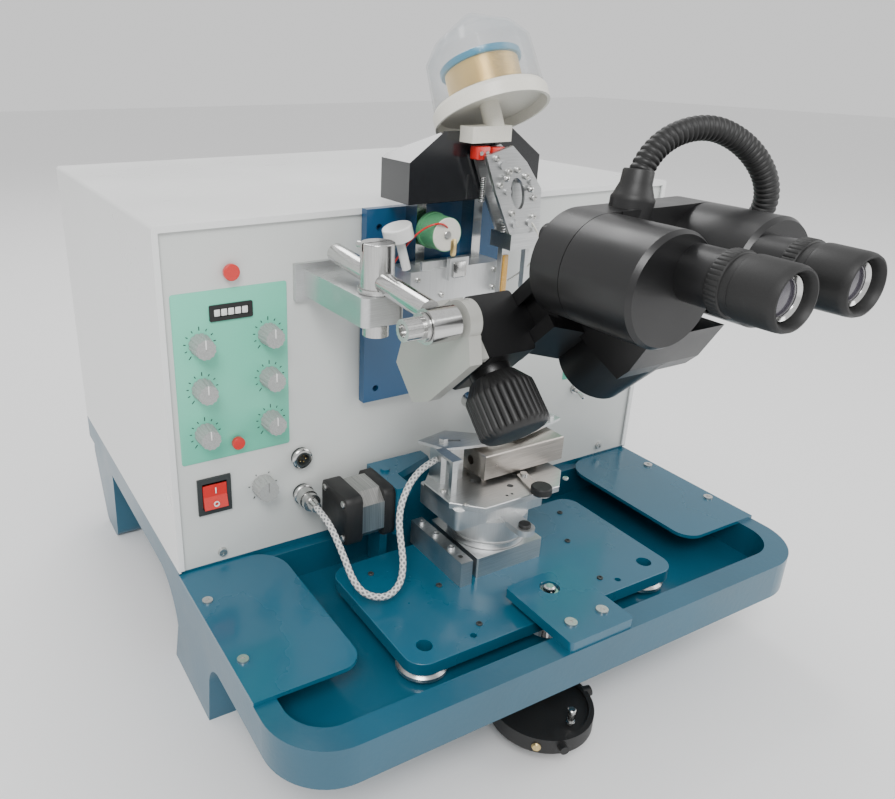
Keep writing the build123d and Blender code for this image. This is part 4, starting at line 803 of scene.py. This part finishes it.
# Wire clamp: cap screws and two bearing balls on the slanted cheeks
CHEEK_Y = -61
CHEEK_SCREWS = [
    (-6, 310), (6, 300), (-1, 291), (14, 301), (22, 296), (31, 280), (32, 266), (17, 262), (12, 270),
]
CHEEK_BALLS = [(2, 296), (25, 287)]
BALL_RADIUS = 2.6
BALL_CENTRE = 3.2
cheek_screw = [(0, -0.3), (2.5, -0.3), (2.5, 1.6), (2.1, 2.1), (1.2, 2.1), (1.1, 1.2), (0, 1.2)]
cheek_ball = [(0, 0.4)]
cheek_ball += [
    (BALL_RADIUS * math.sin(a), BALL_CENTRE - BALL_RADIUS * math.cos(a))
    for a in np.linspace(0.5, math.pi - 0.01, 12)
]
screw_places = [(x, CHEEK_Y, z) for x, z in CHEEK_SCREWS]
ball_places = [(x, CHEEK_Y, z) for x, z in CHEEK_BALLS]
row_of("clamp_cap_screw", cheek_screw, screw_places, TOWARDS, "base", screw_metal, "screw_steel")
row_of("clamp_ball", cheek_ball, ball_places, TOWARDS, "base", bright_steel, "bare_steel", 28)


def coil_spring(name, start, end, radius, wire, turns):
    """A helix of round wire.

    Point = start + (end - start) s + radius (cos a u + sin a v), with a = turns times a full turn times s."""
    start = np.asarray(start, float)
    run = np.asarray(end, float) - start
    u, v, w = axes_for(run)
    s = np.linspace(0, 1, turns * 14)
    a = s * turns * FULL
    path = start + s[:, None] * run + radius * (np.cos(a)[:, None] * u + np.sin(a)[:, None] * v)
    return place(swept(name, path, wire, 8, 80), "base", bright_steel, "bare_steel")


coil_spring("clamp_spring", (10, -56, 256), (10, -56, 283), 2.4, 0.4, 14)
coil_spring("latch_spring", (-8, -50, 296), (-8, -50, 278), 1.9, 0.35, 12)

# Red terminal blocks above the clamp, each with two screws
TERMINAL_BACK = 47.6
TERMINAL_FRONT = 57
TERMINAL_SCREW_OFFSET = 2.6
terminal_head = [(0, 0), (1.5, 0), (1.5, 0.6), (0, 0.6)]
for k, (x, z) in enumerate([(-14, 313.5), (-1, 312.5)]):
    on_panel(
        f"terminal_block_{k}", rounded(11, 9, 1, (x, z)), TERMINAL_BACK, TERMINAL_FRONT,
        "base", signal_red, "button_red", 0.5,
    )
    for j in (-1, 1):
        screw_place = (x + TERMINAL_SCREW_OFFSET * j, -TERMINAL_FRONT, z)
        screw = turned(f"terminal_screw_{k}_{j + 1}", terminal_head, screw_place, TOWARDS, 16)
        place(screw, "base", screw_metal, "screw_steel")
on_panel("amber_strip", rounded(5, 30, 1, (17, 222)), 52.1, 52.9, "base", amber, "bare_aluminium", 0.1)

# Carriage: cap screws and the cable clip
CARRIAGE_FACE = -43
carriage_screw = [(0, -0.3), (2.2, -0.3), (2.2, 1.5), (1.8, 1.9), (1.1, 1.9), (1.0, 1.0), (0, 1.0)]
CARRIAGE_SCREWS = [(-56, 224), (-56, 210), (-34, 210), (14, 224), (14, 210)]
carriage_places = [(x, CARRIAGE_FACE, z) for x, z in CARRIAGE_SCREWS]
row_of("carriage_screw", carriage_screw, carriage_places, TOWARDS, "carriage", screw_metal, "screw_steel")
on_panel("carriage_clip", rounded(12, 12, 1.5, (-22, 229)), 47, 48.2, "carriage", turned_steel, "bare_steel")

# Black finger caps of the clamp lever and of the ring's clamping screw
finger_cap = [(0, 0), (7.4, 0), (8.3, 0.3), (8.3, 5.2), (7.4, 6.2), (0, 6.2)]
lever_cap = turned("clamp_lever_cap", finger_cap, (23, -112, 58.9), UP, 48)
place(lever_cap, "clamp_lever", rubber_black, "knob_black")
screw_cap = [(0, 0), (4.6, 0), (4.9, 0.4), (4.9, 2.4), (4.4, 3), (0, 3)]
ring_cap = turned("ring_screw_cap", screw_cap, (5, -117, 36), UP, 36)
place(ring_cap, "table", rubber_black, "knob_black")

# Socket screws of the platform and of the work table
PLATFORM_TOP = -10
TABLE_TOP = 56
PLATFORM_SCREWS = [
    (-60, -150), (60, -150), (-100, -60), (100, -60), (-60, -98), (74, -98), (-16, -158), (24, -158),
]
TABLE_SCREWS = [(-38, -96), (-30, -42), (60, -100), (60, -42), (-41, -70)]
socket_head = [(0, -0.4), (2.4, -0.4), (2.4, 0.9), (2, 1.3), (1.2, 1.3), (1.1, 0.5), (0, 0.5)]
platform_places = [(x, y, PLATFORM_TOP) for x, y in PLATFORM_SCREWS]
table_places = [(x, y, TABLE_TOP) for x, y in TABLE_SCREWS]
row_of("platform_screw", socket_head, platform_places, UP, "platform", ink_black, "screw_steel")
row_of("table_screw", socket_head, table_places, UP, "table", screw_metal, "screw_steel")

# Manipulator puck: nickelled posts on its top and a brass screw in its rim
PUCK_X = -20
PUCK_Y = -181
PUCK_TOP = -74.3
POST_RADIUS = 27
SCREW_OFFSET = 27.3
post = [(0, 0), (3.4, 0), (3.4, 1.6), (2.2, 2), (2.2, 9), (3, 9.4), (3, 12), (2.4, 12.6), (0, 12.6)]
post_turns = [math.radians(turn) for turn in (40, 160, 280)]
post_places = [
    (PUCK_X + POST_RADIUS * math.cos(a), PUCK_Y + POST_RADIUS * math.sin(a), PUCK_TOP) for a in post_turns
]
row_of("puck_post", post, post_places, UP, "lever", turned_steel, "bare_steel", 28)
puck_head = [(0, 0), (3.2, 0), (3.4, 1), (2.6, 2.2), (0, 2.2)]
rim_place = (PUCK_X - SCREW_OFFSET, PUCK_Y - SCREW_OFFSET, -81)
puck_screw = turned("puck_screw", puck_head, rim_place, (-1, -1, 0), 28)
place(puck_screw, "lever", brass, "screw_steel")

# Leads of the bond head, from the coil, the transducer and the clamp to the hood
LEAD_RADIUS = 0.7
HEAD_LEADS = {
    "coil_lead": (
        [
            (-37, -50, 262), (-44, -54, 268), (-58, -46, 262),
            (-66, -30, 240), (-70, -16, 214), (-66, -11, 190),
        ],
        signal_red,
    ),
    "transducer_lead": (
        [(18, -20, 104), (22, -14, 120), (34, -14, 150), (40, -13, 190), (40, -12, 214)],
        rubber_black,
    ),
    "clamp_lead": (
        [(30, -63, 262), (40, -66, 250), (46, -50, 226), (44, -24, 206), (40, -12, 198)],
        cream,
    ),
}
for label, (route, colour) in HEAD_LEADS.items():
    lead = swept(label, smooth_path(route, 60), LEAD_RADIUS, 12, 60)
    place(lead, "base", colour, "black_plastic")

# Floor and world
bpy.ops.mesh.primitive_plane_add(size=14, location=(0, 0, 0))
floor = bpy.context.object
floor.name = "floor"
floor_material, _, floor_shader = new_material("floor_white", 0.6)
floor_shader.inputs["Base Color"].default_value = (0.86, 0.86, 0.86, 1)
floor.data.materials.append(floor_material)

world = bpy.data.worlds.new("studio")
bpy.context.scene.world = world
world.use_nodes = True
world.node_tree.nodes["Background"].inputs["Color"].default_value = (1, 1, 1, 1)
world.node_tree.nodes["Background"].inputs["Strength"].default_value = 0.95


def soft_light(name, position, target, size, power):
    """A square area light that faces a target, in metres and watts."""
    data = bpy.data.lights.new(name, "AREA")
    data.size = size
    data.energy = power
    light = bpy.data.objects.new(name, data)
    light.location = position
    light.rotation_euler = (Vector(target) - Vector(position)).to_track_quat("-Z", "Y").to_euler()
    bpy.context.scene.collection.objects.link(light)


soft_light("key", (-1.0, -1.4, 1.9), (0, 0, 0.2), 0.9, 38)
soft_light("fill", (1.6, -1.0, 1.2), (0, 0, 0.2), 1.2, 12)
soft_light("back", (0.3, 1.5, 1.9), (0, 0, 0.3), 1.0, 20)

# The photograph's view: where the camera stands, where it looks and how far the frame is shifted
IMAGE_WIDTH = 895
IMAGE_HEIGHT = 799
FOCAL_PIXELS = 802.04
CENTRE_X = 339.92
CENTRE_Y = 383.79
CAMERA_PLACE = (-378.11, -521.62, 379.0)
AZIMUTH = math.radians(28.31)
ELEVATION = math.radians(22.52)
ROLL = math.radians(0.38)
SENSOR = 36
forward = np.array([
    math.sin(AZIMUTH) * math.cos(ELEVATION), math.cos(AZIMUTH) * math.cos(ELEVATION), -math.sin(ELEVATION),
])
level = np.array([math.cos(AZIMUTH), -math.sin(AZIMUTH), 0])
upright = np.cross(level, forward)
right = math.cos(ROLL) * level + math.sin(ROLL) * upright
over = math.cos(ROLL) * upright - math.sin(ROLL) * level
eye = at(CAMERA_PLACE)
camera_data = bpy.data.cameras.new("camera")
camera_data.sensor_width = SENSOR
camera_data.lens = FOCAL_PIXELS / IMAGE_WIDTH * SENSOR
camera_data.shift_x = (IMAGE_WIDTH / 2 - CENTRE_X) / IMAGE_WIDTH
camera_data.shift_y = (CENTRE_Y - IMAGE_HEIGHT / 2) / IMAGE_WIDTH
camera = bpy.data.objects.new("camera", camera_data)
camera.matrix_world = Matrix((
    (right[0], over[0], -forward[0], eye[0]),
    (right[1], over[1], -forward[1], eye[1]),
    (right[2], over[2], -forward[2], eye[2]),
    (0, 0, 0, 1),
))
bpy.context.scene.collection.objects.link(camera)
bpy.context.scene.camera = camera
